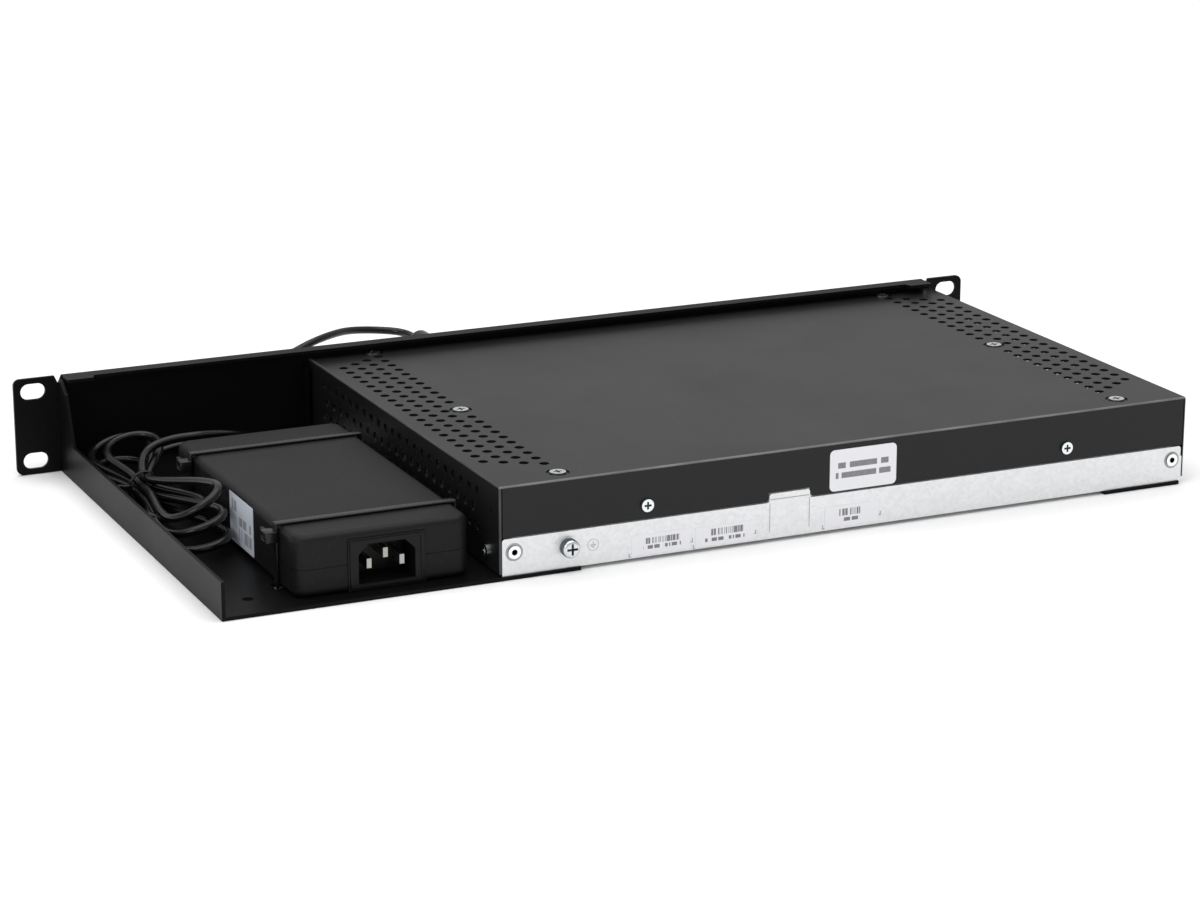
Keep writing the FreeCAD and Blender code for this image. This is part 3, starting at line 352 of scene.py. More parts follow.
@dataclass(frozen=True)
class Folded:
    """The coat of the folded cover, paler along its outer folds, where a highlight is painted into its
    colour.
    """

    name: str
    colour: Point
    roughness: float
    band: float = 0.75
    # The colour of the highlight painted along the outer folds.
    worn: Point = (0.17, 0.17, 0.175)
    grain: float = 0.0007
    depth: float = 0.00002
    specular: float = 0.26
    patch: float = 0.02
    upright_share: float = 0.4
    side_share: float = 0.25

    def build(self) -> bpy.types.Material:
        """Write the material.

        Returns:
            The finished material.
        """
        book = NodeBook(self.name)
        where = book.coordinates()
        x, y, z = book.axes(where)
        low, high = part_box("top_cover")
        near = self.band * MM
        top = z > high.z - near
        rear = y > high.y - near
        sides = (x > high.x - near) + (x < low.x + near)
        # Where the painted fold highlight goes: fully on the top rear fold, partly on the side folds.
        fold = top * rear + (rear * self.upright_share + top * self.side_share) * sides
        patches = book.ramp(book.noise(where, self.patch, 3.0), [(0.30, 0.55), (0.65, 1.0)])
        broad = book.noise(where, BROAD_SIZE, 3.0)
        fine = book.noise(where, self.grain, 3.0, 0.6)
        base = book.mix(broad, shade(self.colour, 0.92), shade(self.colour, 1.08))
        # Mix in the painted fold highlight, broken up in patches.
        tone = book.mix(fold * patches, base, self.worn)
        book.set(Base_Color=tone, Roughness=uneven(self.roughness, broad, fine),
                 Specular_IOR_Level=self.specular, Normal=book.bump(fine, self.depth))
        return book.material


@dataclass(frozen=True)
class Plated:
    """A plated or bare metal with faint mottling, rolling lines and wear."""

    name: str
    colour: Point
    roughness: float
    mottle: float = 0.006
    contrast: float = 0.07
    lines: Point = (1.0, 30.0, 30.0)
    depth: float = 0.000006

    def build(self) -> bpy.types.Material:
        """Write the material.

        Returns:
            The finished material.
        """
        book = NodeBook(self.name)
        where = book.coordinates()
        cells = book.node("ShaderNodeTexVoronoi", {"feature": "F1"},
                          {"Vector": where, "Scale": 1 / self.mottle}, "Color")
        cell = book.axes(cells)[0]
        cloud = book.noise(where, self.mottle * 2.5, 3.0)
        brushed = book.noise(book.stretched(where, self.lines), self.mottle * 3, 2.0)
        tone = cell * 0.35 + cloud * 0.45 + brushed * 0.2
        dull = shade(self.colour, 1 - self.contrast * 2)
        colour = book.mix(tone, dull, shade(self.colour, 1 + self.contrast))
        book.set(Base_Color=colour, Metallic=1.0,
                 Roughness=self.roughness + (cloud - 0.5) * 0.16 + (brushed - 0.5) * 0.08,
                 Normal=book.bump(brushed * 0.6 + cell * 0.4, self.depth))
        return book.material


@dataclass(frozen=True)
class Recessed:
    """Bright plated screw heads whose cross recess is dull and dark.

    The depth axis is the screws' own, and the level is where the recess begins, in metres.
    """

    name: str
    axis: int
    level: float
    sign: float = 1.0
    colour: Point = (0.86, 0.90, 0.92)
    shadow: Point = (0.10, 0.11, 0.12)
    roughness: float = 0.26
    deep_roughness: float = 0.4
    cloud: float = 0.0012
    depth: float = 0.000006

    def build(self) -> bpy.types.Material:
        """Write the material.

        Returns:
            The finished material.
        """
        book = NodeBook(self.name)
        where = book.coordinates()
        depth = book.axes(where)[self.axis] * self.sign
        deep = depth < self.level
        cloud = book.noise(where, self.cloud, 3.0)
        bright = book.mix(cloud, shade(self.colour, 0.86), self.colour)
        colour = book.mix(deep, bright, self.shadow)
        roughness = deep * self.deep_roughness + self.roughness + (cloud - 0.5) * 0.14
        book.set(Base_Color=colour, Metallic=1.0, Roughness=roughness,
                 Normal=book.bump(cloud, self.depth))
        return book.material


@dataclass(frozen=True)
class Jacket:
    """A flexible satin jacket with scuffs and a fine grain."""

    name: str
    colour: Point
    roughness: float
    scuff: float = 0.009
    grain: float = 0.0004
    depth: float = 0.00001
    specular: float = 0.32

    def build(self) -> bpy.types.Material:
        """Write the material.

        Returns:
            The finished material.
        """
        book = NodeBook(self.name)
        where = book.coordinates()
        scuff = book.noise(where, self.scuff, 4.0, 0.65)
        grain = book.noise(where, self.grain, 2.0)
        colour = book.mix(scuff, shade(self.colour, 0.8), shade(self.colour, 1.5))
        book.set(Base_Color=colour, Roughness=self.roughness + (scuff - 0.5) * 0.22,
                 Specular_IOR_Level=self.specular, Normal=book.bump(grain, self.depth))
        return book.material


@dataclass(frozen=True)
class CircuitResin:
    """Solder mask with tracks and pads under it."""

    name: str
    colour: Point
    tracks_a_metre: float = 700.0
    track_from: float = 0.42
    track_to: float = 0.62
    patch: float = 0.012

    def build(self) -> bpy.types.Material:
        """Write the material.

        Returns:
            The finished material.
        """
        book = NodeBook(self.name)
        where = book.coordinates()
        cloud = book.noise(where, 0.003, 1.0)
        x, y, _ = book.axes(where)
        track_x = (x * self.tracks_a_metre).maths("FRACT").between(self.track_from, self.track_to)
        track_y = (y * self.tracks_a_metre).maths("FRACT").between(self.track_from, self.track_to)
        field_x = book.noise(where, self.patch, 0.0) > 0.5
        track = track_x * field_x + track_y * (1 - field_x)
        colour = book.mix(track, self.colour, shade(self.colour, 1.9))
        book.set(Base_Color=colour, Roughness=0.34 + cloud * 0.12, Normal=book.bump(track, 0.00003))
        return book.material


class Face(Enum):
    """Which way a label faces: the rear, or the adapter's outer side."""

    REAR = 0
    SIDE = 1


@dataclass(frozen=True)
class Printed:
    """A label with plain bars and dashes in place of its print.

    Each bar row is (low, high, left, right, cells, share): a band of the label's height, a stretch
    of its width, how many cells it is cut into, and how many of them stay white.
    """

    name: str
    node: str
    rows: tuple[tuple[float, float, float, float, int, float], ...]
    facing: Face = Face.REAR
    ink: Point = (0.10, 0.10, 0.11)
    paper: Point = (0.80, 0.80, 0.83)
    row_step: float = 17.0

    def build(self) -> bpy.types.Material:
        """Write the material.

        Returns:
            The finished material.
        """
        book = NodeBook(self.name)
        where = book.coordinates()
        x, y, z = book.axes(where)
        low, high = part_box(self.node)
        if self.facing is Face.REAR:
            across = (high.x - x) * (1 / (high.x - low.x))
        else:
            across = (y - low.y) * (1 / (high.y - low.y))
        up = (z - low.z) * (1 / (high.z - low.z))
        ink: Wire | None = None
        for number, (bottom, top, left, right, cells, share) in enumerate(self.rows):
            cell = (across * float(cells)).floor() + self.row_step * number
            chance = book.node("ShaderNodeTexWhiteNoise", {"noise_dimensions": "1D"}, {"W": cell})
            row = (chance > share) * up.between(bottom, top) * across.between(left, right)
            ink = row if ink is None else ink + row
        fibre = book.noise(where, 0.0012, 3.0)
        faded = ink * (0.75 + fibre * 0.25)
        paper = book.mix(fibre, shade(self.paper, 0.96), shade(self.paper, 1.03))
        colour = book.mix(faded, paper, self.ink)
        book.set(Base_Color=colour, Roughness=0.42 + fibre * 0.15, Normal=book.bump(fibre, 0.000008))
        return book.material


@dataclass(frozen=True)
class Clear:
    """A clear moulded light pipe."""

    name: str
    colour: Point
    clearness: float = 0.75
    bending: float = 1.49

    def build(self) -> bpy.types.Material:
        """Write the material.

        Returns:
            The finished material.
        """
        book = NodeBook(self.name)
        cloud = book.noise(book.coordinates(), 0.002, 2.0)
        book.set(Base_Color=book.mix(cloud, shade(self.colour, 0.9), self.colour),
                 Roughness=0.12 + cloud * 0.1, Transmission_Weight=self.clearness, IOR=self.bending)
        return book.material


ZINC = (0.80, 0.81, 0.82)
FINISHES = {
    "tray_steel": Coated("tray_coat", (0.0035, 0.0035, 0.0038), 0.40, 0.0009, 0.00003, dust=0.006,
                         specular=0.08),
    "cover_steel": Folded("cover_coat", (0.0085, 0.0085, 0.0090), 0.35),
    "zinc_plate": Plated("zinc_plate", ZINC, 0.42, 0.0014, 0.08, (22.0, 1.0, 2.0)),
    "screw_steel": Plated("screw_plate", (0.72, 0.75, 0.77), 0.24, 0.0015, 0.10),
    "label_paper": Coated("plain_label", (0.82, 0.82, 0.81), 0.45, 0.0012, 0.00001, 0.02, 0.0),
    "adapter_plastic": Coated("adapter_plastic", (0.0070, 0.0070, 0.0078), 0.46, 0.0006, 0.00003,
                              dust=0.015, specular=0.16),
    "inlet_plastic": Coated("inlet_plastic", (0.004, 0.004, 0.0043), 0.36, 0.0008, 0.00001, dust=0.0,
                            specular=0.2),
    "pin_brass": Plated("contact_plate", (0.42, 0.41, 0.38), 0.30, 0.002, 0.10),
    "cord_jacket": Jacket("cord_jacket", (0.0035, 0.0035, 0.0038), 0.22),
    "tie_nylon": Coated("tie_nylon", (0.006, 0.006, 0.0065), 0.27, 0.0004, 0.00001, dust=0.0,
                        specular=0.35),
    "board_resin": CircuitResin("board_resin", (0.005, 0.034, 0.017)),
    "chip_epoxy": Coated("chip_epoxy", (0.018, 0.018, 0.018), 0.5, 0.0003, 0.00001),
    "sink_aluminium": Plated("sink_aluminium", (0.62, 0.63, 0.64), 0.38, 0.004, 0.05, (20.0, 1.0, 20.0)),
    "pad_silicone": Coated("pad_silicone", (0.36, 0.40, 0.45), 0.7, 0.0006, 0.00002),
    "jack_shield": Plated("jack_shield", (0.70, 0.71, 0.72), 0.28, 0.003, 0.05),
    "coil_ferrite": Coated("coil_ferrite", (0.07, 0.07, 0.075), 0.6, 0.0004, 0.00003),
    "can_aluminium": Plated("can_aluminium", (0.58, 0.60, 0.62), 0.25, 0.003, 0.05, (20.0, 20.0, 1.0)),
    "cell_steel": Plated("cell_steel", (0.74, 0.74, 0.73), 0.20, 0.004, 0.05),
    "button_plastic": Coated("button_plastic", (0.10, 0.10, 0.11), 0.3, 0.0004, 0.00001, dust=0.0),
    "light_pipe_clear": Clear("light_pipe_clear", (0.88, 0.93, 0.91)),
    "transformer_tape": Coated("transformer_tape", (0.66, 0.46, 0.05), 0.45, 0.0012, 0.00003),
}
LABELS = (
    Printed("label_print_left", "rear_label_left",
            ((0.50, 0.80, 0.24, 0.82, 120, 0.42), (0.24, 0.42, 0.20, 0.84, 44, 0.34))),
    Printed("label_print_middle", "rear_label_middle",
            ((0.50, 0.84, 0.24, 0.82, 110, 0.42), (0.20, 0.38, 0.16, 0.84, 44, 0.34))),
    Printed("label_print_right", "rear_label_right",
            ((0.48, 0.82, 0.26, 0.68, 90, 0.40), (0.20, 0.38, 0.28, 0.70, 34, 0.30))),
    Printed("seal_print", "seal_label",
            ((0.54, 0.68, 0.12, 0.88, 17, 0.12), (0.30, 0.44, 0.08, 0.92, 23, 0.16)),
            ink=(0.13, 0.13, 0.14)),
    Printed("adapter_print", "adapter_label",
            ((0.66, 0.88, 0.10, 0.30, 26, 0.42), (0.42, 0.60, 0.30, 0.92, 30, 0.30),
             (0.12, 0.36, 0.36, 0.92, 60, 0.45)),
            Face.SIDE, (0.25, 0.26, 0.28), (0.62, 0.66, 0.74)),
)


# ---- Mesh work ----

SMOOTH_BELOW = math.radians(40)


def deselect() -> None:
    """Leave nothing selected, so that the next operator acts on its own object only."""
    if bpy.context.mode != "OBJECT":
        bpy.ops.object.mode_set(mode="OBJECT")
    bpy.ops.object.select_all(action="DESELECT")


def only(piece: bpy.types.Object) -> None:
    """Select one object and make it active.

    Args:
        piece: The object.
    """
    deselect()
    piece.select_set(True)
    bpy.context.view_layer.objects.active = piece


def new_block(name: str, low: Vector, high: Vector) -> bpy.types.Object:
    """Add a cube primitive that fills a box, as the start of a piece.

    Args:
        name: The piece's name.
        low: The box's lowest corner.
        high: Its highest corner.

    Returns:
        The new object, at the origin, with its place in its mesh.
    """
    deselect()
    bpy.ops.mesh.primitive_cube_add(size=1.0, location=(low + high) / 2)
    piece = bpy.context.object
    piece.name = name
    piece.scale = high - low
    bpy.ops.object.transform_apply(location=True, rotation=True, scale=True)
    return piece


def new_round(name: str, centre: Vector, radius: float, depth: float, facing: str = "Y",
              sides: int = 48) -> bpy.types.Object:
    """Add a cylinder primitive along an axis, as the start of a turned piece.

    Args:
        name: The piece's name.
        centre: Its centre.
        radius: Its radius, in metres.
        depth: Its length along the axis, in metres.
        facing: The axis.
        sides: How many sides it has.

    Returns:
        The new object, at the origin, with its place in its mesh.
    """
    turns = {"X": (0, math.pi / 2, 0), "Y": (-math.pi / 2, 0, 0), "Z": (0, 0, 0)}
    deselect()
    bpy.ops.mesh.primitive_cylinder_add(vertices=sides, radius=radius, depth=depth, location=centre,
                                        rotation=turns[facing])
    piece = bpy.context.object
    piece.name = name
    bpy.ops.object.transform_apply(location=True, rotation=True, scale=True)
    return piece


def edit_faces(piece: bpy.types.Object, chosen: Callable[[bpy.types.MeshPolygon], bool]) -> int:
    """Enter edit mode with the faces that a test picks selected.

    Args:
        piece: The mesh to edit.
        chosen: The test of a face.

    Returns:
        How many faces are selected.
    """
    only(piece)
    bpy.ops.object.mode_set(mode="EDIT")
    bpy.ops.mesh.select_mode(type="FACE")
    bpy.ops.mesh.select_all(action="DESELECT")
    bpy.ops.object.mode_set(mode="OBJECT")
    picked = 0
    for face in piece.data.polygons:
        face.select = chosen(face)
        picked += face.select
    bpy.ops.object.mode_set(mode="EDIT")
    return picked


def facing(direction: Point) -> Callable[[bpy.types.MeshPolygon], bool]:
    """Make a test that picks the faces whose normals point one way."""
    return lambda face: face.normal.dot(Vector(direction)) > 0.99


def push(offset: Point) -> None:
    """Extrude the selected faces and move them, in edit mode."""
    bpy.ops.mesh.extrude_region_move(TRANSFORM_OT_translate={"value": offset})


def leave_edit() -> None:
    """Go back to object mode."""
    bpy.ops.object.mode_set(mode="OBJECT")


def soften(piece: bpy.types.Object, width: float, segments: int = 3, angle: float = 30.0) -> None:
    """Round a piece's edges with an applied bevel, and shade it smooth.

    Args:
        piece: The piece.
        width: The bevel's width, in metres.
        segments: How many steps round it has.
        angle: The least angle of an edge that is rounded, in degrees.
    """
    only(piece)
    bevel = piece.modifiers.new("Edges", "BEVEL")
    bevel.width = width
    bevel.segments = segments
    bevel.limit_method = "ANGLE"
    bevel.angle_limit = math.radians(angle)
    bpy.ops.object.modifier_apply(modifier=bevel.name)
    bpy.ops.object.shade_smooth_by_angle(angle=SMOOTH_BELOW)


def duplicate(piece: bpy.types.Object, name: str, offset: Vector) -> bpy.types.Object:
    """Copy a piece with its own mesh.

    Args:
        piece: The piece to copy.
        name: The copy's name.
        offset: How far the copy's mesh is moved.

    Returns:
        The copy.
    """
    twin = bpy.data.objects.new(name, piece.data.copy())
    bpy.context.scene.collection.objects.link(twin)
    twin.data.transform(Matrix.Translation(offset))
    return twin


def join(pieces: list[bpy.types.Object], name: str) -> bpy.types.Object:
    """Join pieces into one object.

    Args:
        pieces: The pieces, at least one.
        name: The joined piece's name.

    Returns:
        The joined piece.
    """
    deselect()
    for piece in pieces:
        piece.select_set(True)
    bpy.context.view_layer.objects.active = pieces[0]
    if len(pieces) > 1:
        bpy.ops.object.join()
    pieces[0].name = name
    return pieces[0]


def finish_piece(piece: bpy.types.Object, material: bpy.types.Material,
                 body: str = "root") -> bpy.types.Object:
    """Dress a piece and ride it on its body.

    Args:
        piece: The piece.
        material: Its material.
        body: The body that it moves with.

    Returns:
        The same piece.
    """
    piece.data.materials.clear()
    piece.data.materials.append(material)
    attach(piece, body)
    LOG.info("piece %s", piece.name)
    return piece


# ---- The carried-over nodes ------------------------------------------------------------------

REAR_HEAD_DEPTH = 0.3 * MM
TOP_HEAD_DEPTH = 0.35 * MM
GROUND_HEAD_DEPTH = 0.9 * MM


class Wardrobe:
    """Builds each finish once and dresses the CAD nodes in it."""

    def __init__(self) -> None:
        """Build the finishes."""
        self.materials = {slot: finish.build() for slot, finish in FINISHES.items()}

    def dress_nodes(self) -> None:
        """Give every CAD node the finish of its slot, and the labels their print."""
        for row in frame["record"]["subparts"]:
            self.dress(row["node"], self.materials[row["material_slot"]])
        for label in LABELS:
            self.dress(label.node, label.build())
        self.dress("rear_rivet_nuts", self.nut_face())
        for screws in self.recessed():
            self.dress(screws[0], screws[1].build())
        # A darker plating for the rear wall's marks: painted shade of the stamped halos, folds and marks,
        # and the dark joints of the seams.
        stamped = Plated("painted_mark_shade", (0.40, 0.41, 0.42), 0.5, 0.002, 0.10)
        self.materials["painted_mark_shade"] = stamped.build()

    def finish(self, piece: bpy.types.Object, slot: str) -> bpy.types.Object:
        """Dress a new piece of the root body in the finish of a slot."""
        return finish_piece(piece, self.materials[slot])

    @staticmethod
    def nut_face() -> bpy.types.Material:
        """Build the bright plating of the rivet nuts, dark within their bores.

        Returns:
            The material.
        """
        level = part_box("rear_rivet_nuts")[1].y - REAR_HEAD_DEPTH
        nut = Recessed("nut_plate", 1, level, colour=(0.97, 0.98, 0.98), shadow=(0.02, 0.02, 0.02))
        return nut.build()

    @staticmethod
    def recessed() -> list[tuple[str, Recessed]]:
        """List the screws whose recess faces outwards.

        Returns:
            Pairs of a node and its finish, which holds the level where the recess begins.
        """
        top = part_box("cover_top_screws")[1].z - TOP_HEAD_DEPTH
        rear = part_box("cover_rear_screws")[1].y - REAR_HEAD_DEPTH
        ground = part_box("ground_screw")[1].y - GROUND_HEAD_DEPTH
        return [("cover_top_screws", Recessed("top_screw_plate", 2, top)),
                ("cover_rear_screws", Recessed("rear_screw_plate", 1, rear)),
                ("ground_screw", Recessed("ground_screw_plate", 1, ground, colour=(0.74, 0.77, 0.79),
                                          shadow=(0.16, 0.17, 0.18)))]

    @staticmethod
    def dress(node: str, material: bpy.types.Material) -> None:
        """Assign one material to a CAD node.

        Args:
            node: The node's name.
            material: The material.
        """
        target = frame["nodes"][node]
        if not target.material_slots:
            target.data.materials.append(material)
        for material_slot in target.material_slots:
            material_slot.material = material


# ---- The cord ----

@dataclass(frozen=True)
class Turn:
    """One turn of the hank, from the tie out to its round fold and back.

    The side is the fold's half width and the way in which the outgoing strand stands off.
    """

    fold: Point
    side: Point


@dataclass
class Cord:
    """The low voltage cord: from the adapter, through the tied hank, to the plug at the front."""

    wardrobe: Wardrobe
    diameter: float = 3.6
    tie_y: float = 75.0
    lead: tuple[Point, ...] = ((166.0, 44.5, 15.5), (166.3, 36.5, 15.2), (172.6, 30.2, 14.4),
                               (181.5, 29.6, 13.2), (190.0, 34.0, 12.2), (198.0, 45.0, 9.5),
                               (204.5, 60.0, 7.2))
    strands: tuple[tuple[float, float], ...] = ((208.3, 6.4), (204.6, 6.2), (209.3, 9.5), (206.0, 9.3),
                                                (202.5, 9.4), (204.2, 12.4), (207.7, 12.6), (205.8, 15.4))
    turns: tuple[Turn, ...] = (
        Turn((203.2, 156.0, 7.5), (11.8, 0.0, -2.0)),
        Turn((203.5, 25.0, 9.6), (-12.0, 0.0, 0.0)),
        Turn((203.5, 153.0, 15.5), (11.5, 0.0, -3.5)),
        Turn((201.5, 15.0, 16.5), (13.0, 0.0, -3.0)),
        Turn((203.5, 127.0, 13.0), (11.8, 0.0, -2.0)),
        Turn((197.0, 26.5, 20.5), (-12.0, 0.0, 1.0)),
        Turn((203.0, 149.0, 23.5), (10.4, 0.0, -6.0)),
    )
    run: tuple[Point, ...] = ((203.0, 62.0, 18.5), (196.0, 50.5, 21.0), (186.0, 50.0, 23.6),
                              (175.5, 50.5, 24.0), (164.5, 47.0, 22.6), (154.0, 40.5, 19.6),
                              (144.5, 32.0, 15.2),
                              (136.5, 21.5, 10.0), (130.5, 10.0, 5.6), (127.5, -4.0, 3.6),
                              (125.5, -16.0, 4.8), (122.5, -25.0, 10.0), (118.0, -30.0, 17.5),
                              (112.5, -32.0, 24.5), (105.5, -33.0, 30.3), (97.0, -34.0, 34.0),
                              (87.5, -37.5, 36.3), (76.5, -44.0, 36.9), (66.0, -51.4, 36.1),
                              (55.0, -55.9, 34.4), (43.9, -56.4, 32.8), (38.2, -53.1, 32.3),
                              (34.97, -47.5, 31.9), (35.0, -41.2, 31.9))
    length: float = 1.34
    strand_shares: tuple[float, ...] = (0.24, 0.48, 0.71)
    fold_entry: float = 6.1
    fold_step: int = 30
    tie_centre: Point = (205.9, 75.8, 10.9)
    tie_half_width: float = 6.4
    tie_half_height: float = 7.2
    tie_width: float = 2.2
    tie_wall: float = 0.6
    tail_low: Point = (5.4, -1.1, 0.4)
    tail_high: Point = (9.0, 1.1, 2.4)
    tail_lifts: tuple[float, ...] = (0.5, 0.2, -0.1)
    tail_taper: float = 0.86

    def turn_points(self, turn: Turn, start: Point, end: Point) -> list[Point]:
        """List one turn's points.

        Args:
            turn: The turn.
            start: Where the cord leaves the tie.
            end: Where it comes back to the tie.

        Returns:
            The points between the two: a strand out, a half circle round the fold, a strand back.
        """
        side = Vector(turn.side)
        middle = (Vector(start) + Vector(end)) / 2
        along = (Vector(turn.fold) - middle).normalized()
        centre = Vector(turn.fold) - along * side.length
        shares = (*self.strand_shares, 1 - self.fold_entry / (centre - middle).length)
        out = [Vector(start).lerp(centre, t) + side * t * t * (3 - 2 * t) for t in shares]
        back = [Vector(end).lerp(centre, t) - side * t * t * (3 - 2 * t) for t in reversed(shares)]
        angles = [math.radians(degrees) for degrees in range(0, 181, self.fold_step)]
        fold = [centre + side * math.cos(a) + along * side.length * math.sin(a) for a in angles]
        return [tuple(point) for point in (*out, *fold, *back)]

    def route(self) -> list[Point]:
        """List the whole cord's points.

        Returns:
            The points from the adapter to the plug, in millimetres above the tray's underside.
        """
        ties = [(x, self.tie_y, z) for x, z in self.strands]
        points = [*self.lead, ties[0]]
        for turn, start, end in zip(self.turns, ties, ties[1:]):
            points += [*self.turn_points(turn, start, end), end]
        return [*points, *self.run]

    def build(self) -> bpy.types.Object:
        """Make the cord as one smooth spline.

        Returns:
            The cord.
        """
        curve = bpy.data.curves.new("cord", "CURVE")
        curve.dimensions = "3D"
        curve.bevel_depth = self.diameter / 2 * MM
        curve.bevel_resolution = 5
        curve.use_fill_caps = True
        spline = curve.splines.new("NURBS")
        points = self.route()
        spline.points.add(len(points) - 1)
        for control, point in zip(spline.points, points):
            control.co = (*place(*point), 1.0)
        spline.order_u = 3
        spline.use_endpoint_u = True
        spline.resolution_u = 6
        piece = bpy.data.objects.new("low_voltage_cord", curve)
        bpy.context.scene.collection.objects.link(piece)
        self.wardrobe.finish(piece, "cord_jacket")
        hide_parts("cord_lead", "cord_hank", "cord_run")
        return piece

    def build_tie(self) -> bpy.types.Object:
        """Make the wrapped tie of the hank: a thin band with a twisted end.

        Returns:
            The tie.
        """
        middle = place(*self.tie_centre)
        band = new_round("cord_tie_band", middle, 1.0, self.tie_width * MM, "Y", 40)
        edit_faces(band, lambda face: abs(face.normal.y) > 0.99)
        bpy.ops.mesh.delete(type="ONLY_FACE")
        leave_edit()
        for vertex in band.data.vertices:
            vertex.co.x = middle.x + (vertex.co.x - middle.x) * self.tie_half_width * MM
            vertex.co.z = middle.z + (vertex.co.z - middle.z) * self.tie_half_height * MM
        only(band)
        wall = band.modifiers.new("Wall", "SOLIDIFY")
        wall.thickness = self.tie_wall * MM
        wall.offset = 1.0
        bpy.ops.object.modifier_apply(modifier=wall.name)
        soften(band, 0.12 * MM, 2)
        tail = new_block("cord_tie_tail", middle + Vector(self.tail_low) * MM,
                         middle + Vector(self.tail_high) * MM)
        edit_faces(tail, facing((1, 0, 0)))
        for lift in self.tail_lifts:
            push((1.0 * MM, 0.0, lift * MM))
            bpy.ops.transform.resize(value=(1.0, self.tail_taper, self.tail_taper))
        soften(tail, 0.3 * MM)
        tie = join([band, tail], "cord_tie_wrap")
        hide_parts("cord_tie")
        return self.wardrobe.finish(tie, "tie_nylon")

    def declare(self) -> None:
        """Work out where the cord starts, and keep nothing of it.
        """
        tuple(place(*self.lead[0]))


# ---- Details on the adapter ----

@dataclass
class AdapterDetails:
    """The ties over the adapter, and the rim round its inlet."""

    wardrobe: Wardrobe
    tie_rows: tuple[float, float] = (88.5, 197.0)
    strap_half: float = 1.9
    strap: float = 1.1
    strap_gap: float = 0.25
    strap_lift: float = 0.1
    strap_foot: float = 0.15
    head_low: tuple[float, float] = (189.3, 20.4)
    head_high: tuple[float, float] = (194.2, 25.2)
    head_half: float = 3.2
    tail_low: tuple[float, float] = (190.6, 22.2)
    tail_high: tuple[float, float] = (191.7, 24.0)
    tail_length: float = 5.1
    rim: float = 1.3
    rim_inset: float = 0.7
    rim_rise: float = 0.4

    def build_tie(self, y: float, name: str) -> bpy.types.Object:
        """Make one tie: a band with rounded corners, its hollow head and its cut tail.

        Args:
            y: Where its middle lies along the adapter, in millimetres.
            name: Its name.

        Returns:
            The tie.
        """
        shell_low, shell_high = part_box("adapter_upper_shell")
        gap = self.strap_gap * MM
        strap = self.strap * MM
        left, right = shell_high.x + gap, shell_low.x - gap
        top = shell_high.z + self.strap_lift * MM
        rows = ((y - self.strap_half) * MM, (y + self.strap_half) * MM)
        band = new_block(name, Vector((right - strap, rows[0], top)),
                         Vector((left + strap, rows[1], top + strap)))
        edit_faces(band, lambda face: True)
        for cut in (right, left):
            bpy.ops.mesh.select_all(action="SELECT")
            bpy.ops.mesh.bisect(plane_co=(cut, 0, 0), plane_no=(1, 0, 0))
        edit_faces(band, lambda face: face.normal.z < -0.99 and not right < face.center.x < left)
        push((0.0, 0.0, place(0, 0, self.strap_foot).z - top))
        soften(band, 0.45 * MM, 4)
        (low_x, low_z), (high_x, high_z) = self.head_low, self.head_high
        head = new_block(f"{name}_head", place(low_x, y - self.head_half, low_z),
                         place(high_x, y + self.head_half, high_z))
        edit_faces(head, facing((1, 0, 0)))
        bpy.ops.mesh.inset(thickness=1.1 * MM)
        push((-1.2 * MM, 0.0, 0.0))
        soften(head, 0.4 * MM)
        (low_x, low_z), (high_x, high_z) = self.tail_low, self.tail_high
        root = y - self.head_half - 0.1
        tail = new_block(f"{name}_tail", place(low_x, root - self.tail_length, low_z),
                         place(high_x, root, high_z))
        edit_faces(tail, facing((0, -1, 0)))
        push((0.6 * MM, -1.0 * MM, 0.2 * MM))
        soften(tail, 0.25 * MM, 2)
        tie = join([band, head, tail], name)
        return self.wardrobe.finish(tie, "tie_nylon")

    def build_ties(self) -> None:
        """Make both ties and let them stand for the plain CAD bands."""
        for number, y in enumerate(self.tie_rows):
            tie = self.build_tie(y, f"adapter_tie_{number + 1}")
            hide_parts("adapter_ties")

    def build_inlet_rim(self) -> bpy.types.Object:
        """Make the raised rim round the face of the inlet.

        Returns:
            The rim.
        """
        low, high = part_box("adapter_inlet")
        face = high.y + 0.02 * MM
        inner = self.rim_inset * MM
        rim = new_block("inlet_rim", Vector((low.x + inner, face, low.z + inner)),
                        Vector((high.x - inner, face + self.rim_rise * MM, high.z - inner)))
        edit_faces(rim, lambda f: abs(f.normal.y) > 0.99)
        bpy.ops.mesh.inset(thickness=self.rim * MM, use_boundary=True, use_individual=True)
        bpy.ops.mesh.bridge_edge_loops()
        soften(rim, 0.12 * MM, 2)
        return self.wardrobe.finish(rim, "inlet_plastic")

    def build(self) -> None:
        """Make every detail of the adapter."""
        self.build_ties()
        self.build_inlet_rim()


# ---- Details on the rear wall ----

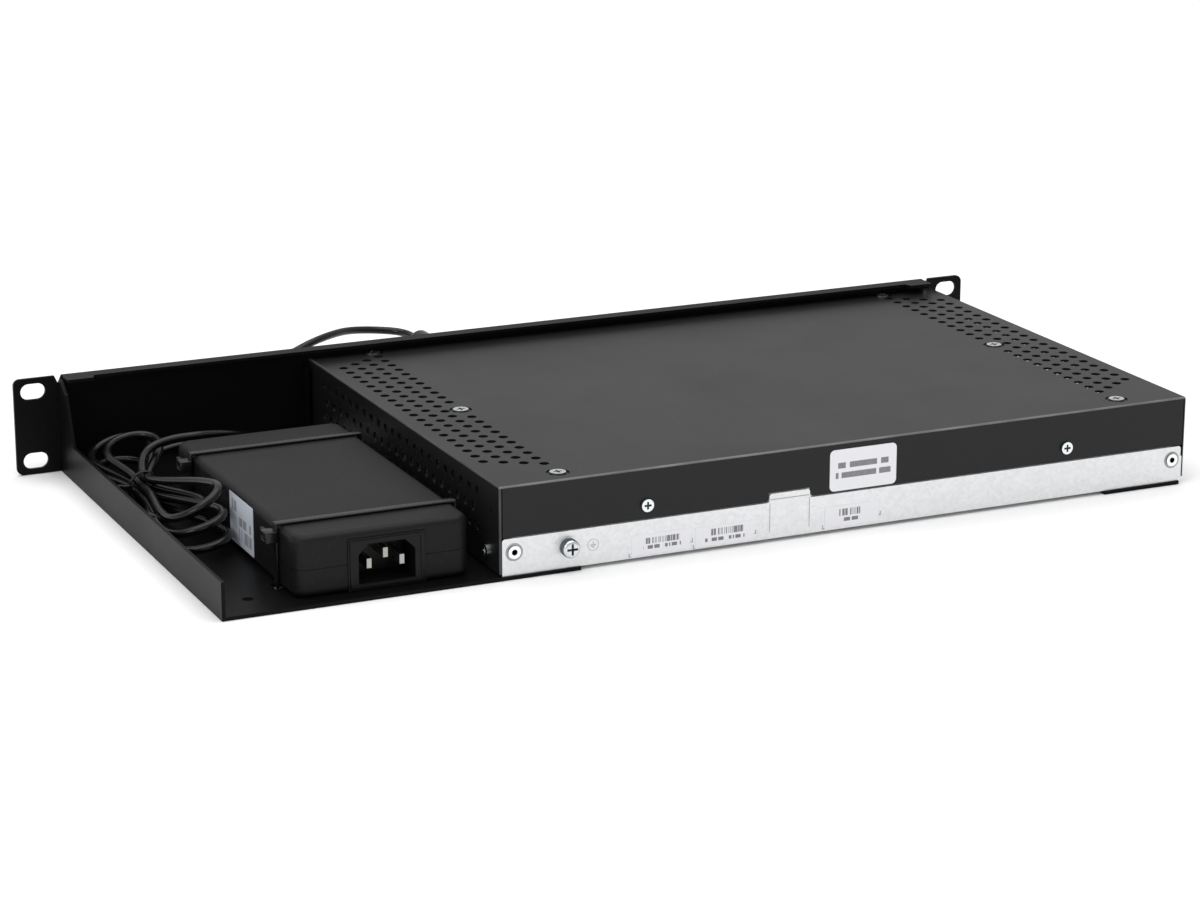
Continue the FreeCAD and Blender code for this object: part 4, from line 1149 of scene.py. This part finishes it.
@dataclass
class RearDetails:
    """Stamped marks of the plated rear wall: halos, folds, label corners and the earth mark, in a darker
    plating that is painted shade, and the dark joint along the seams.
    """

    wardrobe: Wardrobe
    halo_radius: float = 3.8
    halo_width: float = 0.9
    halo_places: tuple[float, float] = (97.25, -217.4)
    halo_height: float = 11.35
    tab: tuple[float, float] = (-37.0, -18.8)
    seams: tuple[float, float] = (-37.2, -18.6)
    mark_width: float = 0.35
    mark_rise: float = 0.12
    earth_centre: tuple[float, float] = (62.3, 9.8)
    earth_radius: float = 2.5
    parts: list[bpy.types.Object] = field(default_factory=list)

    @property
    def face(self) -> float:
        """Where the rear wall's outer face lies, in millimetres."""
        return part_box("base_chassis")[1].y / MM

    def strip(self, name: str, x: tuple[float, float], z: tuple[float, float]) -> bpy.types.Object:
        """Make one raised, rounded line on the rear wall.

        Args:
            name: Its name.
            x: Its ends along the rack.
            z: Its lower and upper edge.

        Returns:
            The line.
        """
        piece = new_block(name, place(min(x), self.face - 0.05, min(z)),
                          place(max(x), self.face + self.mark_rise, max(z)))
        edit_faces(piece, facing((0, 1, 0)))
        bpy.ops.mesh.inset(thickness=0.25 * min(max(x) - min(x), max(z) - min(z)) * MM)
        soften(piece, 0.03 * MM, 2)
        return piece

    def ring(self, name: str, x: float, z: float, radius: float, width: float) -> bpy.types.Object:
        """Make one raised ring on the rear wall.

        Args:
            name: Its name.
            x: Its centre along the rack.
            z: Its centre's height.
            radius: Its outer radius.
            width: How wide its band is.

        Returns:
            The ring.
        """
        piece = new_round(name, place(x, self.face + self.mark_rise / 2 - 0.02, z), radius * MM,
                          self.mark_rise * MM, "Y", 40)
        edit_faces(piece, lambda face: abs(face.normal.y) > 0.99)
        bpy.ops.mesh.inset(thickness=width * MM, use_individual=True)
        bpy.ops.mesh.bridge_edge_loops()
        soften(piece, 0.03 * MM, 2)
        return piece

    def build_halos(self) -> None:
        """Stamp a ring round each rivet nut, darker as the painted shade of its dimple."""
        for number, x in enumerate(self.halo_places):
            self.parts.append(self.ring(f"halo_{number}", x, self.halo_height, self.halo_radius,
                                        self.halo_width))

    def build_corners(self) -> None:
        """Stamp a short bracket at each end of the three labels."""
        wide, tall = self.mark_width, 1.8
        for name in ("rear_label_left", "rear_label_middle", "rear_label_right"):
            low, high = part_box(name)
            bottom = low.z / MM + MID_HEIGHT
            ends = ((high.x / MM + 1.0, bottom - 0.6), (low.x / MM - 1.0, bottom + 2.2))
            for number, (x, z) in enumerate(ends):
                self.parts.append(self.strip(f"{name}_bracket_{number}", (x - wide / 2, x + wide / 2),
                                             (z, z + tall)))
                inward = -0.9 if number == 0 else 0.9
                self.parts.append(self.strip(f"{name}_foot_{number}", (x, x + inward), (z, z + wide)))

    def build_folds(self) -> None:
        """Mark the tab's fold and the two seams under the cover's notch."""
        self.parts.append(self.strip("tab_fold", self.tab, (18.3, 18.6)))
        for number, x in enumerate(self.seams):
            self.parts.append(self.strip(f"tab_seam_{number}", (x - 0.12, x + 0.12), (4.5, 17.2)))

    def build_earth_mark(self) -> None:
        """Stamp the plain earth mark beside the ground screw."""
        x, z = self.earth_centre
        self.parts.append(self.ring("earth_ring", x, z, self.earth_radius, 0.16))
        self.parts.append(self.strip("earth_stem", (x - 0.1, x + 0.1), (z, z + 1.6)))
        for number, half in enumerate((1.5, 0.95, 0.4)):
            level = z - 0.55 * number
            self.parts.append(self.strip(f"earth_bar_{number}", (x - half, x + half),
                                         (level - 0.1, level + 0.1)))

    def build(self) -> None:
        """Make every mark, as one piece."""
        self.build_halos()
        self.build_corners()
        self.build_folds()
        self.build_earth_mark()
        marks = join(self.parts, "rear_stamped_marks")
        # The marks' darker plating is painted shade, and the dark joint along the seams.
        finish_piece(marks, self.wardrobe.materials["painted_mark_shade"])


# ---- Details of the front ports ----

@dataclass
class PortDetails:
    """What shows in the front ports: liners, contact wires, the USB tongue and plain numerals."""

    wardrobe: Wardrobe
    jack_places: tuple[float, ...] = (-176.0, -159.9, -143.8, -127.7, -99.0, -82.9, -66.8, -50.7, -24.0)
    network_jacks: int = 8
    usb_place: float = -2.0
    board_top: float = 9.6
    contacts: int = 8
    contact_pitch: float = 1.02
    contact_top: float = 11.2
    tongue_half: float = 5.6
    strip_pitch: float = 2.35
    numeral_size: float = 4.2
    numeral_height: float = 28.0

    def contact(self, x: float) -> bpy.types.Object:
        """Make one springy contact wire of a jack, sloping up towards the mouth.

        Args:
            x: Where it lies along the rack.

        Returns:
            The wire.
        """
        top = self.board_top + self.contact_top
        wire = new_block("contact", place(x - 0.22, 8.6, top - 3.2), place(x + 0.22, 9.0, top - 0.2))
        edit_faces(wire, lambda face: face.normal.y < -0.99)
        push((0.0, -2.2 * MM, 0.9 * MM))
        bpy.ops.transform.resize(value=(1.0, 1.0, 0.35))
        push((0.0, -3.6 * MM, 0.7 * MM))
        soften(wire, 0.08 * MM, 2)
        return wire

    def build_contacts(self) -> None:
        """Make the contacts of all jacks from one wire."""
        first = self.contact(self.jack_places[0] - self.contact_pitch * (self.contacts - 1) / 2)
        wires = [first]
        for place_x in self.jack_places:
            for number in range(self.contacts):
                shift = place_x - self.jack_places[0] + self.contact_pitch * number
                if shift:
                    wires.append(duplicate(first, "contact", Vector((shift * MM, 0, 0))))
        contacts = join(wires, "jack_contacts")
        self.wardrobe.finish(contacts, "pin_brass")

    def build_liners(self) -> None:
        """Make the black liner in each jack's mouth."""
        x = self.jack_places[0]
        back = new_block("liner", place(x - 5.85, 10.6, self.board_top + 4.45),
                         place(x + 5.85, 11.45, self.board_top + 11.35))
        edit_faces(back, facing((0, -1, 0)))
        bpy.ops.mesh.inset(thickness=0.8 * MM)
        push((0.0, -1.2 * MM, 0.0))
        soften(back, 0.15 * MM, 2)
        liners = [back] + [duplicate(back, "liner", Vector(((other - x) * MM, 0, 0)))
                           for other in self.jack_places[1:]]
        joined = join(liners, "jack_liners")
        self.wardrobe.finish(joined, "inlet_plastic")

    def build_tongue(self) -> None:
        """Make the tongue of the USB port with its four contacts."""
        x = self.usb_place
        tongue = new_block("usb_tongue", place(x - self.tongue_half, 0.8, self.board_top + 3.8),
                           place(x + self.tongue_half, 11.9, self.board_top + 5.6))
        edit_faces(tongue, facing((0, -1, 0)))
        bpy.ops.transform.resize(value=(0.94, 1.0, 0.7))
        soften(tongue, 0.2 * MM)
        self.wardrobe.finish(tongue, "inlet_plastic")
        strip = new_block("strip", place(x - 4.0, 1.6, self.board_top + 3.62),
                          place(x - 3.1, 9.0, self.board_top + 3.8))
        edit_faces(strip, facing((0, -1, 0)))
        push((0.0, -0.3 * MM, 0.1 * MM))
        soften(strip, 0.05 * MM, 2)
        strips = [strip] + [duplicate(strip, "strip", Vector((self.strip_pitch * n * MM, 0, 0)))
                            for n in (1, 2, 3)]
        self.wardrobe.finish(join(strips, "usb_contacts"), "pin_brass")

    def build_numerals(self) -> None:
        """Make the plain numerals over the eight network jacks."""
        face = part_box("port_plate")[0].y
        made = []
        for number, x in enumerate(self.jack_places[:self.network_jacks], start=1):
            deselect()
            height = place(0, 0, self.numeral_height).z
            bpy.ops.object.text_add(location=(x * MM, face - 0.01 * MM, height),
                                    rotation=(math.pi / 2, 0, 0))
            numeral = bpy.context.object
            numeral.data.body = str(number)
            numeral.data.size = self.numeral_size * MM
            numeral.data.align_x = "CENTER"
            numeral.data.extrude = 0.04 * MM
            bpy.ops.object.convert(target="MESH")
            bpy.ops.object.transform_apply(location=True, rotation=True, scale=True)
            made.append(bpy.context.object)
        numerals = join(made, "jack_numerals")
        self.wardrobe.finish(numerals, "inlet_plastic")

    def build(self) -> None:
        """Make every port's details."""
        self.build_contacts()
        self.build_liners()
        self.build_tongue()
        self.build_numerals()


# ---- Studio ----

@dataclass
class Studio:
    """A plain pale floor, soft lights and the camera."""

    lens: float = 101.62
    sensor: float = 36.0
    eye: Point = (0.60659, 1.41915, 0.41271)
    forward: Point = (-0.3997, -0.8725, -0.2812)
    floor_half: float = 30.0
    floor_gap: float = 0.0002
    world_light: float = 0.60
    over_place: Point = (0.0, 0.0, 6.0)
    over_size: float = 8.0
    over_power: float = 360.0
    side_place: Point = (1.9, 1.2, 1.0)
    side_target: Point = (0.1, 0.1, 0.0)
    side_size: float = 0.9
    side_power: float = 9.0

    def build_camera(self) -> None:
        """Set the camera."""
        data = bpy.data.cameras.new("camera")
        data.lens = self.lens
        data.sensor_width = self.sensor
        data.sensor_fit = "HORIZONTAL"
        data.clip_start = 0.01
        camera = bpy.data.objects.new("camera", data)
        camera.location = self.eye
        camera.rotation_euler = Vector(self.forward).to_track_quat("-Z", "Y").to_euler()
        bpy.context.scene.collection.objects.link(camera)
        bpy.context.scene.camera = camera

    def build_floor(self) -> None:
        """Lay the floor under the lowest point of the object."""
        deselect()
        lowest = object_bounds()[0][2]
        bpy.ops.mesh.primitive_plane_add(size=2 * self.floor_half, location=(0, 0, lowest - self.floor_gap))
        floor = bpy.context.object
        floor.name = "floor"
        book = NodeBook("floor_paint")
        cloud = book.noise(book.coordinates(), 0.6, 2.0)
        book.set(Base_Color=book.mix(cloud, (0.90, 0.90, 0.90), (0.93, 0.93, 0.93)), Roughness=0.9)
        floor.data.materials.append(book.material)
        floor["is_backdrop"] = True

    def build_light(self, name: str, location: Point, target: Point, size: float, power: float) -> None:
        """Add one soft area light.

        Args:
            name: Its name.
            location: Where it hangs.
            target: What it points at.
            size: Its side.
            power: Its power in watts.
        """
        data = bpy.data.lights.new(name, "AREA")
        data.shape = "SQUARE"
        data.size = size
        data.energy = power
        light = bpy.data.objects.new(name, data)
        light.location = location
        direction = Vector(target) - Vector(location)
        light.rotation_euler = direction.to_track_quat("-Z", "Y").to_euler()
        bpy.context.scene.collection.objects.link(light)

    def build(self) -> None:
        """Set up the world, the lights, the floor and the camera."""
        world = bpy.data.worlds.new("studio")
        world.use_nodes = True
        background = world.node_tree.nodes["Background"]
        background.inputs["Color"].default_value = (1.0, 1.0, 1.0, 1.0)
        background.inputs["Strength"].default_value = self.world_light
        bpy.context.scene.world = world
        bpy.context.scene.view_settings.view_transform = "Standard"
        self.build_light("floor_light", self.over_place, (0.0, 0.0, 0.0), self.over_size, self.over_power)
        self.build_light("side_light", self.side_place, self.side_target, self.side_size,
                         self.side_power)
        self.build_floor()
        self.build_camera()


def main() -> None:
    """Build the whole scene in order."""
    studio = Studio()
    studio.build()
    wardrobe = Wardrobe()
    wardrobe.dress_nodes()
    cord = Cord(wardrobe)
    line = cord.build()
    tie = cord.build_tie()
    cord.declare()
    AdapterDetails(wardrobe).build()
    RearDetails(wardrobe).build()
    PortDetails(wardrobe).build()


if __name__ == "__main__":
    main()
